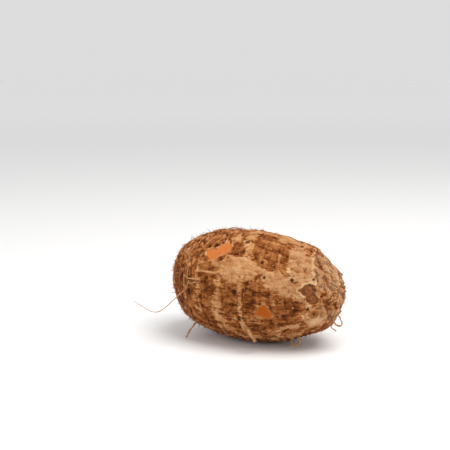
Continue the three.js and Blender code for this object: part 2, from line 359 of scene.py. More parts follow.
def ring_ways(turn):
    """The way of every ring at a turn, one row for each ring."""
    way, lean, to, _ = RINGS.T
    shape = (-1,) + (1,) * np.ndim(turn)
    leaning = lean.reshape(shape) * np.cos(turn - np.radians(to).reshape(shape))
    return way.reshape(shape) + leaning


print(len(RINGS), "rings,", np.diff(RINGS[:, 0]).round(1), "mm apart")

# %% Patches
# place as way and turn in degrees, and outline in mm along the corm and round it
SCRAPED = [
    (70, 44, [(-10.5, 2), (-11, -0.5), (-8.5, -3), (-4, -2), (-2.5, -4), (-1.5, -6.5), (2.5, -8), (5.5, -8),
              (8, -3.5), (7, 0.5), (3.5, 2), (1, 3.5), (-1, 5.5), (-3.5, 7.5), (-7, 6.5)]),
    (107, 104, [(-5.5, 0.5), (-3, -4.5), (-0.5, -6), (2, -5), (5.5, 2), (3, 4.5), (0, 4.5), (-4.5, 2)]),
    (96, 262, [(-9, 2), (-5, -5), (3, -6), (10, -2), (7, 4), (-1, 6)]),
    (128.2, 114, [(-1, -0.8), (1, -1), (1.2, 0.8), (-0.8, 1)]),
]
FLAKED = [
    (136, 84, [(-6.5, -3), (-4, -4), (-2, -6), (1, -7), (4.5, -5.5), (5.5, -2), (4, 1), (5.5, 4.5), (4.5, 8),
               (-1, 7.5), (-2, 5), (-1.5, 2.5), (-3.5, 0.5)]),
]
# The same for patches of whole, pale bark, each with a strength in front of its outline.
PAPERY = [
    (86, 58, 1.0, [(-17.5, 0.5), (-12.5, -2), (-4.5, -4.5), (3.5, -5.5), (10.5, -4.5), (16, -1), (14.5, 4.5),
                   (8, 4.5), (-2, 5), (-13, 4.5)]),
    (90, 70, 0.85, [(-13.5, -3), (-0.5, -4), (11.5, -3), (9, 0.5), (1, 2.3), (-9, 3.4)]),
    (120, 76, 0.85, [(-17.5, -10.5), (-3.5, -10.5), (3, -5.5), (9, -2.5), (12.5, 6), (14.5, 14), (10.5, 10.5),
                     (5.5, 6), (-0.5, 4.5), (-7, 2), (-13, -4)]),
    (132, 45, 0.82, [(-10.5, -13), (-4.5, -19.5), (2, -9), (7.5, -9), (10.5, 0.5), (9.5, 12), (3, 14.5),
                    (-1.5, 14), (-3.5, 6), (-8.5, 1.5)]),
    (136, 126, 1.35, [(-4.5, -3), (-3, -4), (-1, -3.5), (3, -3.5), (5.5, -0.5), (3, 3.5), (0, 4.5),
                      (-3.5, 4)]),
    (74, 88, 0.75, [(-2.5, -8.5), (2, -9), (4, 1.5), (2, 8.5), (-3.5, 8)]),
    (75, 118, 0.58, [(-4, -16), (3.5, -16), (4, -8.5), (5.5, 0.5), (11, 9.5), (17, 17), (7, 17), (-0.5, 8.5),
                     (-5.5, 1), (-7.5, -7.5)]),
]
# way, turn in degrees, radius and depth
PITS = [
    (64.9, 36, 1.9, 1.6), (73.3, 53, 1.3, 1.0), (87.5, 29, 1.9, 1.7), (87.5, 84, 1.9, 1.7),
    (107, 66, 1.15, 1.5), (103.6, 50, 1.2, 1.2), (140.6, 65, 1.0, 1.0), (125.7, 66, 1.4, 1.3),
    (133.4, 104, 1.1, 0.9), (90.9, 112, 2.2, 1.5),
    (58, 205, 1.9, 1.6), (71, 262, 1.9, 1.7), (84, 231, 1.7, 1.5), (97, 300, 1.9, 1.7),
    (118, 248, 1.6, 1.4), (128, 318, 1.5, 1.3), (69, 338, 1.8, 1.6), (106, 215, 1.6, 1.3),
]
BUDS = [(136.3, 113, 3.8), (118, 205, 3.6), (100, 275, 3.4), (126, 335, 3.2)]
# way, turn in degrees, half length along the corm, half width round it, strength
# The oval at way 116 and turn 0 is a painted highlight along the top of the corm.
PALE = [
    (105, 143, 32, 8, 0.45), (58.2, 96, 3.4, 26, 0.5), (116, 0, 30, 8, 0.7), (88, 12, 5, 20, 0.65),
    (102, 6, 12, 9, 0.4), (90, 113, 13, 0.9, 0.9), (97, 116.5, 8, 0.8, 0.9),
    (91, 36, 3, 10, 0.7), (156, 69, 2.5, 14, 0.5), (160, 120, 3, 20, 0.4), (44.3, 57, 2.5, 12, 0.4),
    (120, 128, 9, 4.5, 0.6), (127, 122, 4, 3, 0.6), (112, 9, 5, 5, 1.0), (78, 27, 4, 6, 0.8),
    (92, 79, 3, 3, 0.7), (134.5, 99.5, 2, 3, 0.9), (64, 67.5, 10, 0.9, 0.85), (127, 61, 4, 4.5, 0.9),
    (94, 46, 4, 4, 0.6), (77.5, 50, 3, 3, 0.6), (115.3, 38, 1.6, 8, 0.6), (59, 52, 3, 6, 0.5),
    (150, 84, 0.9, 9, 0.9), (157, 100, 0.9, 12, 0.9),
]
DARK = [
    (67.5, 83, 6, 11, 1.0), (84, 94, 5.5, 12, 0.9), (99, 87, 6, 9, 1.0), (119, 106, 6.5, 15, 1.0),
    (118, 30, 3, 9, 0.7), (104, 33, 2.5, 8, 0.6), (125, 64, 2.2, 3.5, 0.55), (130, 61, 1.8, 4.5, 0.55),
    (71, 60, 5, 4, 0.5), (38, 115, 9, 15, 0.8), (96, 35, 6, 7, 0.35), (66, 128, 6, 14, 0.35),
    (110, 42, 3, 11, 0.9), (119.5, 44, 1.8, 10, 0.7), (104, 122, 5, 4, 0.8), (113, 113, 4, 5, 0.8),
    (91, 127, 5, 4, 0.7), (88, 105, 3, 5, 0.7),
    (146, 97, 5, 6, 0.9), (153, 118, 5, 9, 0.8), (147, 30, 3, 6, 0.6), (150, 66, 2.5, 4, 0.5),
    (37, 90, 7, 18, 0.9), (51, 71, 4, 6, 0.7), (48, 108, 4, 12, 0.8), (104.5, 82, 3.5, 6, 0.4),
    (148, 107, 4, 7, 0.9),
]
# Where the bark is a mat of strands that run round the corm, most of all on the root end.
FIBROUS = [(18, 90, 34, 400, 1.0), (60, 8, 24, 30, 0.9), (40, 200, 30, 40, 0.6)]
# Ovals for the side that is turned away: how many, and the range of each of their five numbers.
BACK_OVALS = 22
BACK_OVAL = [(30, 145), (165, 360), (5, 15), (6, 16), (0.5, 1)]
PATCH_SEED = 7

oval_chance = np.random.default_rng(PATCH_SEED)
back_ovals = list(zip(*(oval_chance.uniform(low, high, BACK_OVALS) for low, high in BACK_OVAL)))
PALE += back_ovals[::2]
DARK += back_ovals[1::2]
print(len(PALE), "pale and", len(DARK), "dark areas,", len(PITS), "pits")

# %% Distances on the skin
# An oval fades out over these shares of its radius, and an outline over these depths in mm.
OVAL_FADE = (0.55, 1.35)
OUTLINE_FADE = (-4.5, 2.0)
FAR_OFF = 30.0


def flat_offset(way, turn, mark_way, mark_degrees):
    """How far a place lies from a mark, in mm along the corm and round it."""
    _, radius = far_and_radius(mark_way)
    round_way = (turn - math.radians(mark_degrees) + math.pi) % (2 * math.pi) - math.pi
    return way - mark_way, round_way * radius


def outline_depth(x, y, outline):
    """Distance to an outline in mm, above 0 inside it."""
    corners = np.array(outline, float)
    nearest = np.full(x.shape, np.inf)
    inside = np.zeros(x.shape, bool)
    for (ax, ay), (bx, by) in zip(corners, np.roll(corners, -1, axis=0)):
        dx, dy = bx - ax, by - ay
        share = np.clip(((x - ax) * dx + (y - ay) * dy) / (dx * dx + dy * dy), 0, 1)
        nearest = np.minimum(nearest, np.hypot(x - ax - share * dx, y - ay - share * dy))
        crosses = (ay > y) != (by > y)
        with np.errstate(divide="ignore", invalid="ignore"):
            meets = ax + (y - ay) * dx / dy
        inside ^= crosses & (x < meets)
    return np.where(inside, nearest, -nearest)


def patch_depth(way, turn, patches):
    """Distance to the edge of the nearest patch in mm, above 0 inside it."""
    depth = np.full(way.shape, -FAR_OFF)
    for mark_way, degrees, outline in patches:
        x, y = flat_offset(way, turn, mark_way, degrees)
        depth = np.maximum(depth, outline_depth(x, y, outline))
    return depth


def oval_strength(way, turn, ovals):
    """Full strength in the middle of an oval, fading to nothing outside it."""
    total = np.zeros(way.shape)
    for mark_way, degrees, half_length, half_width, strength in ovals:
        x, y = flat_offset(way, turn, mark_way, degrees)
        reach = np.hypot(x / half_length, y / half_width)
        total = np.maximum(total, strength * (1 - ease(reach, *OVAL_FADE)))
    return total


def outline_strength(way, turn, patches):
    """Full strength inside an outline, fading over a few mm at its edge."""
    total = np.zeros(way.shape)
    for mark_way, degrees, strength, outline in patches:
        x, y = flat_offset(way, turn, mark_way, degrees)
        total = np.maximum(total, strength * ease(outline_depth(x, y, outline), *OUTLINE_FADE))
    return total


def nearest_mark(way, turn, marks):
    """Distance to the nearest mark as a share of that mark's radius."""
    share = np.full(way.shape, FAR_OFF)
    for mark_way, degrees, radius, *_ in marks:
        x, y = flat_offset(way, turn, mark_way, degrees)
        share = np.minimum(share, np.hypot(x, y) / radius)
    return share


scrape_way, scrape_degrees, _ = SCRAPED[0]
scrape_middle = patch_depth(np.array([scrape_way]), np.radians([scrape_degrees]), SCRAPED)
print("the middle of the large scrape is", scrape_middle.round(1), "mm inside its edge")

# %% Edges of the rings
# What every ring keeps of its pale edge, and over how many degrees an arc of it fades out.
EDGE_EVERYWHERE = 0.12
ARC_FADE = 8


def arc_strength(ring, turn):
    """How much of its pale edge the nearest ring has kept at each place."""
    total = np.full(turn.shape, EDGE_EVERYWHERE)
    degrees = np.degrees(turn)
    for number_of_ring, first, last, strength in RING_ARCS:
        half = (last - first) / 2
        away = np.abs((degrees - first - half + 180) % 360 - 180)
        here = strength * (1 - ease(away, half - ARC_FADE, half + ARC_FADE))
        total = np.where(ring == number_of_ring, np.maximum(total, here), total)
    return total


print(len(RING_ARCS), "arcs of ring have kept a pale edge")

# %% [markdown]
# ## The skin mesh
# The skin is a net of rows along the corm and columns round it, with one point at each pole. Its
# cells are about half a millimetre by one, fine enough for ridges and fissures. The corm's own
# solid is too coarse for that, and this piece takes its place.

# %% Skin net
ROWS = 326
COLUMNS = 290
POLE_GAP = 0.4
# The corm is pressed flat where it rests: up to the first distance in mm, fading at the second.
RESTING = (9, 22)


def closed_net(points, first_pole, last_pole):
    """Vertices and faces of a net that closes round its columns and at two poles."""
    rows, columns, _ = points.shape
    vertices = np.concatenate([[first_pole], points.reshape(-1, 3), [last_pole]])
    j = np.arange(columns)
    k = (j + 1) % columns
    faces = []
    for i in range(rows - 1):
        a = 1 + i * columns
        b = a + columns
        faces += np.stack([a + j, a + k, b + k, b + j], axis=1).tolist()
    end = 1 + (rows - 1) * columns
    last = len(vertices) - 1
    faces += np.stack([np.zeros_like(j), 1 + k, 1 + j], axis=1).tolist()
    faces += np.stack([np.full_like(j, last), end + j, end + k], axis=1).tolist()
    return vertices, faces


def store(mesh, name, values):
    """Keeps a number, or three, at every point of the mesh."""
    kind, key = ("FLOAT", "value") if values.ndim == 1 else ("FLOAT_VECTOR", "vector")
    layer = mesh.attributes.new(name, kind, "POINT")
    layer.data.foreach_set(key, values.astype(np.float32).ravel())


def triangles(mesh):
    return sum(len(face.vertices) - 2 for face in mesh.polygons)


def off_flat_spot(points):
    """0 on the flat spot that the corm rests on, 1 away from it."""
    return ease(np.linalg.norm(points, axis=-1), *RESTING)


def make_skin():
    ways = np.linspace(POLE_GAP, SKIN_WAY - POLE_GAP, ROWS)
    turns = np.linspace(0, 2 * math.pi, COLUMNS, endpoint=False)
    way, turn = np.meshgrid(ways, turns, indexing="ij")
    bare, out, _ = skin_frame(way, turn)
    points = bare + out * (lumps(way, turn) * off_flat_spot(bare))[..., None]
    poles = [skin_frame(w, 0.0)[0] for w in (0.0, SKIN_WAY)]
    vertices, faces = closed_net(points, *poles)
    mesh = bpy.data.meshes.new("skin")
    mesh.from_pydata(vertices * MM, [], faces)
    full_way = np.concatenate([[0], way.ravel(), [SKIN_WAY]])
    full_turn = np.concatenate([[0], turn.ravel(), [0]])
    return mesh, full_way, full_turn


skin_mesh, skin_ways, skin_turns = make_skin()
print("skin:", len(skin_mesh.vertices), "points,", triangles(skin_mesh), "triangles")

# %% Numbers kept on the skin
# The corm unrolled on a round bar: noise on it has no seam and runs lengthwise at both ends.
BAR = 38
LOW_SKIN = (6, 16)


def keep_numbers(mesh, way, turn):
    away = way - ring_ways(turn)
    nearest = np.abs(away).argmin(axis=0)
    bands = (away > 0).sum(axis=0)
    tones = np.random.default_rng(PATCH_SEED).uniform(-1, 1, len(RINGS) + 1)
    bare, out, along = skin_frame(way, turn)
    numbers = {
        "way": way,
        "out": out,
        "along": along,
        "low": 1 - ease(bare[:, 2], *LOW_SKIN),
        "bar": np.stack([way, BAR * np.cos(turn), BAR * np.sin(turn)], axis=1),
        "ring_away": away[nearest, np.arange(len(way))],
        "ring_high": RINGS[nearest, 3],
        "ring_pale": arc_strength(nearest, turn),
        "band_tone": tones[bands],
        "scraped": patch_depth(way, turn, SCRAPED),
        "flaked": patch_depth(way, turn, FLAKED),
        "pale": np.maximum(oval_strength(way, turn, PALE), outline_strength(way, turn, PAPERY)),
        "dark": oval_strength(way, turn, DARK),
        "fibrous": oval_strength(way, turn, FIBROUS),
        "pit": nearest_mark(way, turn, PITS),
        "bud": nearest_mark(way, turn, BUDS),
        "rubbed": 1 - off_flat_spot(bare),
    }
    for name, values in numbers.items():
        store(mesh, name, values)


keep_numbers(skin_mesh, skin_ways, skin_turns)
print("kept on the skin:", ", ".join(a.name for a in skin_mesh.attributes if not a.name.startswith(".")))

# %% [markdown]
# ## Trees that shape and repeat
# A Geometry Nodes tree is a recipe that can be read again and given other sizes. Each tree here
# has named inputs, is run once on a base mesh, and its result is kept as a plain mesh, so the
# corm holds no live modifier.

# %% Running a tree
# A limit in metres that nothing may lie below. Only the height is limited.
LOWEST = (-9, -9, 0)


def new_tree(name, sizes):
    """A tree with geometry in and out, and a named input for each size."""
    tree = bpy.data.node_groups.new(name, "GeometryNodeTree")
    for way_through in ("INPUT", "OUTPUT"):
        tree.interface.new_socket("Geometry", in_out=way_through, socket_type="NodeSocketGeometry")
    for size, value in sizes.items():
        kind = "NodeSocketInt" if isinstance(value, int) else "NodeSocketFloat"
        tree.interface.new_socket(size, in_out="INPUT", socket_type=kind).default_value = value
    board = Board(tree)
    start = tree.nodes.new("NodeGroupInput")
    given = {key: Wire(board, start.outputs[key]) for key in ("Geometry", *sizes)}
    return board, given


def close_tree(board, geometry, material):
    """Every tree ends alike: made real, laid on the floor where it would go under it, and dressed."""
    real = board.add("GeometryNodeRealizeInstances", {}, {0: geometry})
    smooth = board.add("GeometryNodeSetShadeSmooth", {}, {"Geometry": real})
    place = board.add("GeometryNodeInputPosition")
    over_floor = board.add("ShaderNodeVectorMath", {"operation": "MAXIMUM"}, {0: place, 1: LOWEST})
    laid = board.add("GeometryNodeSetPosition", {}, {"Geometry": smooth, "Position": over_floor})
    dressed = board.add("GeometryNodeSetMaterial", {}, {"Geometry": laid, "Material": material})
    board.plug(board.tree.nodes.new("NodeGroupOutput").inputs[0], dressed)


def run_tree(name, base_mesh, board, sizes):
    """Runs a tree on a mesh and keeps the result as a plain mesh piece."""
    base = link(name + "_base", base_mesh)
    modifier = base.modifiers.new("tree", "NODES")
    modifier.node_group = board.tree
    for item in board.tree.interface.items_tree:
        if item.in_out == "INPUT" and item.name in sizes:
            modifier[item.identifier] = sizes[item.name]
    graph = bpy.context.evaluated_depsgraph_get()
    mesh = bpy.data.meshes.new_from_object(
        base.evaluated_get(graph), preserve_all_data_layers=True, depsgraph=graph)
    bpy.data.objects.remove(base)
    mesh.name = name
    print(name, "has", triangles(mesh), "triangles")
    return link(name, mesh)


def make_piece(name, base_mesh, shape, sizes, material):
    """One finished piece. shape(board, given) fills the tree and gives the geometry it makes."""
    board, given = new_tree(name, sizes)
    close_tree(board, shape(board, given), material)
    return run_tree(name, base_mesh, board, sizes)


print("no piece goes below", LOWEST[2], "m, which is the floor")

# %% Nodes that every tree uses
def stored(board, name, kind="FLOAT"):
    return board.add("GeometryNodeInputNamedAttribute", {"data_type": kind}, {"Name": name})


def keep(board, geometry, name, value):
    inputs = {"Geometry": geometry, "Name": name, "Value": value}
    return board.add("GeometryNodeStoreNamedAttribute", {"data_type": "FLOAT"}, inputs)


def moved(board, geometry, offset):
    return board.add("GeometryNodeSetPosition", {}, {"Geometry": geometry, "Offset": offset})


print("shared by the trees:", ", ".join(shared.__name__ for shared in (stored, keep, moved)))

# %% [markdown]
# ## Relief of the skin
# On the real corm each ring is the torn foot of a leaf: a low papery ridge that rises slowly from
# the root side and drops off sharply on the crown's side. Between rings the bark dries into folds
# and fissures that run lengthwise, and splits into thin plates. Round the root end it is a mat of
# strands, and near the crown it is torn in layers. Sculpting would give the same look, but a sum of
# ridges, stretched noise and stored distances can be measured and changed, and it follows every
# ring.

# %% Relief in millimetres, and the profiles of rings and buds
RELIEF = {
    "Ridge": 0.85, "Folds": 0.5, "Fissures": 0.85, "Strands": 0.75, "Layers": 0.3, "Mottle": 0.5,
    "Paper": 0.3, "Grain": 0.22,
}


def ring_profile(away):
    rise = away.ease(-2.8, -0.5)
    drop = away.ease(0.3, 1.3)
    back_up = away.ease(1.4, 3.4)
    return rise - 1.3 * drop + 0.3 * back_up


def bud_profile(share):
    """A collar round a groove with a small tip in it."""
    collar = share.ease(1.15, 0.85) - 1.3 * share.ease(0.72, 0.5)
    return collar + 1.1 * share.ease(0.36, 0.08)


print("relief in mm:", RELIEF)

# %% Torn edges of patches
TORN_BY = 0.8


def patch_masks(board, read, spot):
    """Where bark is scraped, flaked or whole, with torn edges; read fetches a kept number."""
    torn = board.noise(spot, 0.45, detail=4, rough=0.6)
    mottle = board.noise(spot, (0.13, 0.22, 0.22), detail=5, rough=0.62)
    broken = board.noise(spot, 0.13, detail=2).ease(-0.25, 0.2)
    whole = read(board, "pale") + 0.4 * mottle + 0.22 * torn - 0.2 * read(board, "dark")
    scraped = read(board, "scraped") + TORN_BY * torn
    flaked = read(board, "flaked") + TORN_BY * torn
    return {
        "torn": torn,
        "mottle": mottle,
        "paper": whole.ease(0.1, 1.0),
        "plate": mottle.ease(-0.08, 0.08),
        # Just inside a plate's edge is a painted highlight, and just outside it a painted shadow.
        "plate_rim": mottle.ease(-0.04, 0.06) * mottle.ease(0.24, 0.1),
        "plate_shade": mottle.ease(-0.28, -0.08) * mottle.ease(0.0, -0.04),
        "scraped": scraped.ease(-0.12, 0.12),
        "scrape_rim": scraped.ease(-1.6, -0.9) * scraped.ease(0.0, -0.3) * (0.35 + 0.65 * broken),
        "scrape_edge": scraped.ease(1.3, 0.1),
        "flaked": flaked.ease(-0.12, 0.12),
        "flake_rim": flaked.ease(-1.7, -1.0) * flaked.ease(0.0, -0.3) * (0.45 + 0.55 * broken),
    }


print("edges of patches are torn by up to", round(NOISE_REACH * TORN_BY, 2), "mm or so")

# %% Patterns of the relief
# The way in mm over which the skin goes over to the torn layers of the crown.
CROWN_RELIEF = (139, 148)


def relief_patterns(board):
    """What the relief is summed from, by name. bar runs with the corm, and spot has no grain."""
    bar = stored(board, "bar", "FLOAT_VECTOR")
    spot = board.spot()
    wander = board.noise(bar, (0.07, 0.12, 0.12), detail=2)
    teeth = board.noise(bar, (0.03, 0.42, 0.42), detail=3, rough=0.6)
    away = stored(board, "ring_away") + 1.1 * wander + 0.9 * teeth
    masks = patch_masks(board, stored, spot)
    return SimpleNamespace(
        away=away,
        crest=away.ease(-2.8, -1.0) - away.ease(0.4, 1.2),
        between=abs(away).ease(0.8, 3.2),
        crown=stored(board, "way").ease(*CROWN_RELIEF),
        fibrous=stored(board, "fibrous"),
        creases=board.noise(bar, (0.05, 0.3, 0.3), detail=3, rough=0.55, swirl=0.9),
        folds=board.noise(bar, (0.06, 0.2, 0.2), detail=3, rough=0.5, swirl=0.5),
        bumps=board.noise(spot, 0.11, detail=3),
        strands=board.noise(bar, (0.24, 0.07, 0.07), detail=4, rough=0.6, swirl=2.4),
        layers=board.noise(bar, (0.3, 0.03, 0.03), detail=3, rough=0.6, swirl=0.3),
        grain=board.noise(spot, 0.7, detail=4, rough=0.65),
        shreds=board.noise(bar, (0.3, 0.75, 0.75), detail=2),
        patchy=(0.6 + 0.6 * board.noise(bar, 0.05, detail=2)).clamped(),
        **masks)


print("the crown's relief starts", CROWN_RELIEF[0], "mm along the skin")

# %% Height of the relief
def bark_lift(board, given, p):
    """Ridges, folds, plates, fissures, strands and layers. Where bark is off, only grain is left."""
    whole = 1 - p.scraped.larger(p.flaked)
    high = stored(board, "ring_high")
    kept = (0.35 + 0.65 * stored(board, "ring_pale").clamped()) * (0.5 + 0.5 * p.patchy)
    folded = p.folds * (0.2 + 0.8 * p.lengthwise) + (0.7 + 0.4 * p.crown) * p.bumps
    lift = high * given["Ridge"] * kept * (ring_profile(p.away) + 0.4 * p.crest * p.shreds) * whole
    lift = lift + given["Folds"] * folded * p.rough
    lift = lift + p.crown * (0.18 * p.torn + 0.45 * p.layers) * p.rough
    lift = lift + (0.15 + 0.25 * p.crown) * p.plate * whole
    lift = lift - given["Fissures"] * p.fissure * p.rough * (0.5 + 0.7 * stored(board, "dark"))
    lift = lift + given["Strands"] * p.strands * p.fibrous * whole
    lift = lift + given["Paper"] * p.paper * whole + given["Layers"] * p.layers * p.rough
    lift = lift + given["Mottle"] * p.mottle * (1 - 0.5 * p.paper) * whole
    return lift + given["Grain"] * p.grain * (1 - 0.7 * p.scraped)


def scar_lift(board, lift, p):
    """Bare patches lie lower inside a raised rim, pits go in, and buds stand in a collar."""
    pit = stored(board, "pit") + 0.2 * p.torn
    bud = stored(board, "bud") + 0.1 * p.torn + 0.12 * p.mottle
    lift = lift + (0.25 * p.torn + 0.15 * p.mottle) * p.flaked
    lift = lift - 0.5 * p.scraped.larger(p.flaked) + 0.35 * p.flake_rim + 0.25 * p.scrape_rim
    lift = lift - 1.25 * pit.ease(1.1, 0.35) + 0.2 * (pit.ease(2.0, 1.3) - pit.ease(1.25, 1.0))
    return lift + 1.0 * bud_profile(bud)


def raised_skin(board, given):
    """The relief, and the patterns that the colour needs again, kept as numbers on the skin."""
    p = relief_patterns(board)
    p.lengthwise = (1 - p.fibrous) * (1 - p.crown)
    p.fissure = abs(p.creases).ease(0.2, 0.0) * (0.25 + 0.75 * p.between) * p.lengthwise
    p.rough = (0.35 + 0.65 * p.between) * (1 - 0.6 * p.paper) * (1 - p.scraped.larger(p.flaked))
    lift = scar_lift(board, bark_lift(board, given, p), p) * (1 - stored(board, "rubbed"))
    normal = board.add("GeometryNodeInputNormal")
    raised = moved(board, given["Geometry"], board.scaled(normal, lift * MM))
    marks = {
        "crest": p.crest * stored(board, "ring_pale"),
        "fissure": p.fissure * p.rough,
        "groove": p.away.ease(0.6, 1.4) - p.away.ease(1.8, 3.4),
        "strands": p.strands * p.fibrous,
        "layers": p.layers,
    }
    for name, value in marks.items():
        raised = keep(board, raised, name, value)
    return raised


print("the relief is a sum of", len(RELIEF), "named heights, with the scars on top")

# %% [markdown]
# ## Finish of the bark
# Dry taro bark is dull and layered: pale tan where the papery skin is whole or rubbed, red-brown
# and dark where it has flaked, with a greyer tint near the crown and painted shade in the fissures.
# Where a knife took the bark off, the layer below is orange. Here one number from dark to light
# is built up from the stored marks and from noise, and a colour ramp turns it into bark, because
# that keeps light and dark in the right places and lets all the browns be tuned in one row.

# %% Colours
def linear(red, green, blue):
    """A colour picked from a screen, in the light values that shaders use."""
    values = [c / 255 for c in (red, green, blue)]
    return tuple(c / 12.92 if c <= 0.04045 else ((c + 0.055) / 1.055) ** 2.4 for c in values) + (1,)


BARK_STOPS = [
    (0.0, linear(40, 17, 6)), (0.2, linear(86, 41, 15)), (0.4, linear(138, 76, 33)),
    (0.6, linear(172, 111, 62)), (0.8, linear(201, 150, 103)), (1.0, linear(222, 180, 135)),
]
# Orange of the fibrous end: partly the strands' own colour, partly painted warm reflected light in its shade.
FIBRE_ORANGE_AND_BOUNCE = linear(176, 96, 40)
SCRAPED_TOP = linear(196, 114, 58)
# Scraped flesh deeper in tone, and darker in painted shade low on the corm.
SCRAPED_DEEP_AND_SHADED = linear(166, 80, 18)
SCRAPED_PALE = linear(226, 148, 88)
FLAKED_BROWN = linear(128, 74, 38)
FLAKED_PALE = linear(174, 120, 78)
CROWN_GREY = linear(174, 143, 114)
PIT_DARK = linear(74, 36, 15)


def new_material(name):
    material = bpy.data.materials.new(name)
    material.use_nodes = True
    material.node_tree.nodes.clear()
    return material, Board(material.node_tree)


def close_material(board, sockets):
    """The shader and the output. Values that stay the same are set on the shader's own sockets."""
    shader = board.add("ShaderNodeBsdfPrincipled", {}, sockets)
    board.add("ShaderNodeOutputMaterial", {}, {"Surface": shader})


def painted(board, under, over, mask):
    """One colour over another where the mask is 1."""
    settings = {"data_type": "RGBA", "clamp_factor": True}
    return board.add("ShaderNodeMix", settings, {0: mask, 6: under, 7: over}, out=2)


def from_stops(board, stops, value):
    """A tone from 0 to 1 turned into one of a row of browns."""
    return board.add("ShaderNodeValToRGB", {"stops": stops}, {0: value.clamped()})


def number(board, name, out="Fac"):
    """A number, or a vector, that is kept on the piece."""
    return board.add("ShaderNodeAttribute", {"attribute_name": name}, {}, out=out)


def bump(board, height, strength, distance_mm):
    inputs = {"Height": height, "Strength": strength, "Distance": distance_mm * MM}
    return board.add("ShaderNodeBump", {}, inputs)


print("bark runs through", len(BARK_STOPS), "browns")

# %% Patterns of the bark
# Stretches of the skin, as ways in mm: from the first the change begins, at the second it is full.
CROWN_TINT = (139, 146)
GREY_PAPER = (96, 128)
# Over this stretch painted shade darkens the root end.
SHADED_ROOT_TIP = (34, 12)
# Over this stretch the painted warm reflected light grows towards the root tip.
ROOT_TIP_BOUNCE = (30, 10)
PALE_COLLAR = (36, 46)
PALE_COLLAR_ENDS = (60, 52)
KEPT = ("crest", "groove", "fissure", "strands", "layers", "dark", "pale", "pit", "bud", "fibrous",
        "band_tone")


def bark_patterns(board):
    """What the bark's tone and colours are mixed from, by name."""
    bar = number(board, "bar", "Vector")
    spot = board.spot()
    way = board.axis(bar, 0)
    p = SimpleNamespace(
        way=way,
        height=board.axis(spot, 2),
        crown=way.ease(*CROWN_TINT),
        streaks=board.noise(bar, (0.1, 0.3, 0.3), detail=4, rough=0.52, swirl=1.1),
        threads=board.noise(bar, (0.2, 1.4, 1.4), detail=3, rough=0.6),
        arcs=board.noise(bar, (0.5, 0.1, 0.1), detail=4, rough=0.6, swirl=1.2),
        beads=board.noise(bar, (0.1, 0.33, 0.33), detail=2),
        nicks=board.noise(bar, (0.12, 0.75, 0.75), detail=2).ease(0.12, 0.5),
        flecks=board.noise(spot, 0.5, detail=4, rough=0.68, swirl=0.6),
        specks=board.noise(spot, 1.1, detail=3, rough=0.6),
        blotch=board.noise(spot, 0.085, detail=4, rough=0.55),
        deep=board.noise(spot, 0.3, detail=4),
        **{name: number(board, name) for name in KEPT},
        **patch_masks(board, number, spot))
    p.lengthwise = (1 - p.crown) * (1 - p.fibrous)
    p.paper = (p.paper + (0.25 * p.flecks + 0.3 * p.streaks) * p.paper.ease(0, 0.25)).ease(0.05, 0.9)
    return p


print("the tone of the bark is mixed from", len(KEPT), "kept numbers and from the noises")

# %% [markdown]
# Broken bark and whole papery bark each get a tone of their own, from 0 for the darkest brown to 1
# for the palest. Broken bark is the darker and takes most from plates, strands and ring edges. The
# whole bark is paler and smoother. A mask then chooses between them, and scars go on top.

# %% Tone of the bark
def broken_bark_tone(p):
    """Plates and streaks between rings, arcs on the fibrous end and pale torn edges of rings, with painted
    highlight and shade.
    """
    value = 0.46 + 0.27 * p.mottle + 0.12 * p.flecks + 0.05 * p.specks
    value = value + p.crown * (0.09 + 0.13 * p.torn + 0.24 * p.layers)
    # A painted highlight inside each plate's edge and a painted shadow outside it.
    value = value + (0.1 + 0.12 * p.crown) * p.plate_rim - (0.08 + 0.05 * p.crown) * p.plate_shade
    value = value + p.crown * 0.1 * (p.plate - 0.5)
    value = value + p.lengthwise * (0.22 * p.streaks + 0.05 * p.threads + 0.2 * p.layers)
    value = value + 0.72 * p.strands + p.fibrous * (0.32 * p.arcs + 0.12 * p.mottle)
    value = value - 0.25 * p.strands.ease(-0.08, -0.42) * p.fibrous
    # The root end is darkened: painted shade.
    value = value - 0.17 * p.fibrous * p.way.ease(*SHADED_ROOT_TIP)
    value = value + 0.1 * p.fibrous * p.way.ease(*PALE_COLLAR) * p.way.ease(*PALE_COLLAR_ENDS)
    ragged = (p.crest + 0.35 * p.beads * p.crest.ease(0, 0.4) + 0.2 * p.flecks - 0.1).ease(0.05, 0.9)
    # The groove behind each ring is darkened: painted shade.
    value = value + ragged * (0.3 + 0.12 * p.beads + 0.1 * p.threads - 0.3 * p.nicks) - 0.1 * p.groove
    value = value + 0.04 * p.band_tone
    dark_here = (p.dark + 0.45 * p.blotch * p.dark.ease(0, 0.35)).clamped()
    darker = 0.07 + 0.09 * p.fibrous + 0.2 * p.streaks + 0.1 * p.flecks
    return value - dark_here * darker * (1 - 0.6 * p.crest.clamped())


def papery_bark_tone(p):
    """Whole bark: pale and even, with a painted highlight along the edge where it stops."""
    value = 0.71 + 0.12 * p.streaks + 0.12 * p.specks + 0.05 * p.threads + 0.13 * p.flecks + 0.17 * p.mottle
    # A painted highlight along the edge of the whole bark.
    value = value + 0.12 * p.paper.ease(0.3, 0.5) * p.paper.ease(0.9, 0.6)
    value = value + p.crest.clamped() * (0.1 - 0.4 * p.nicks)
    return value + 0.35 * (p.pale - 0.95).clamped()


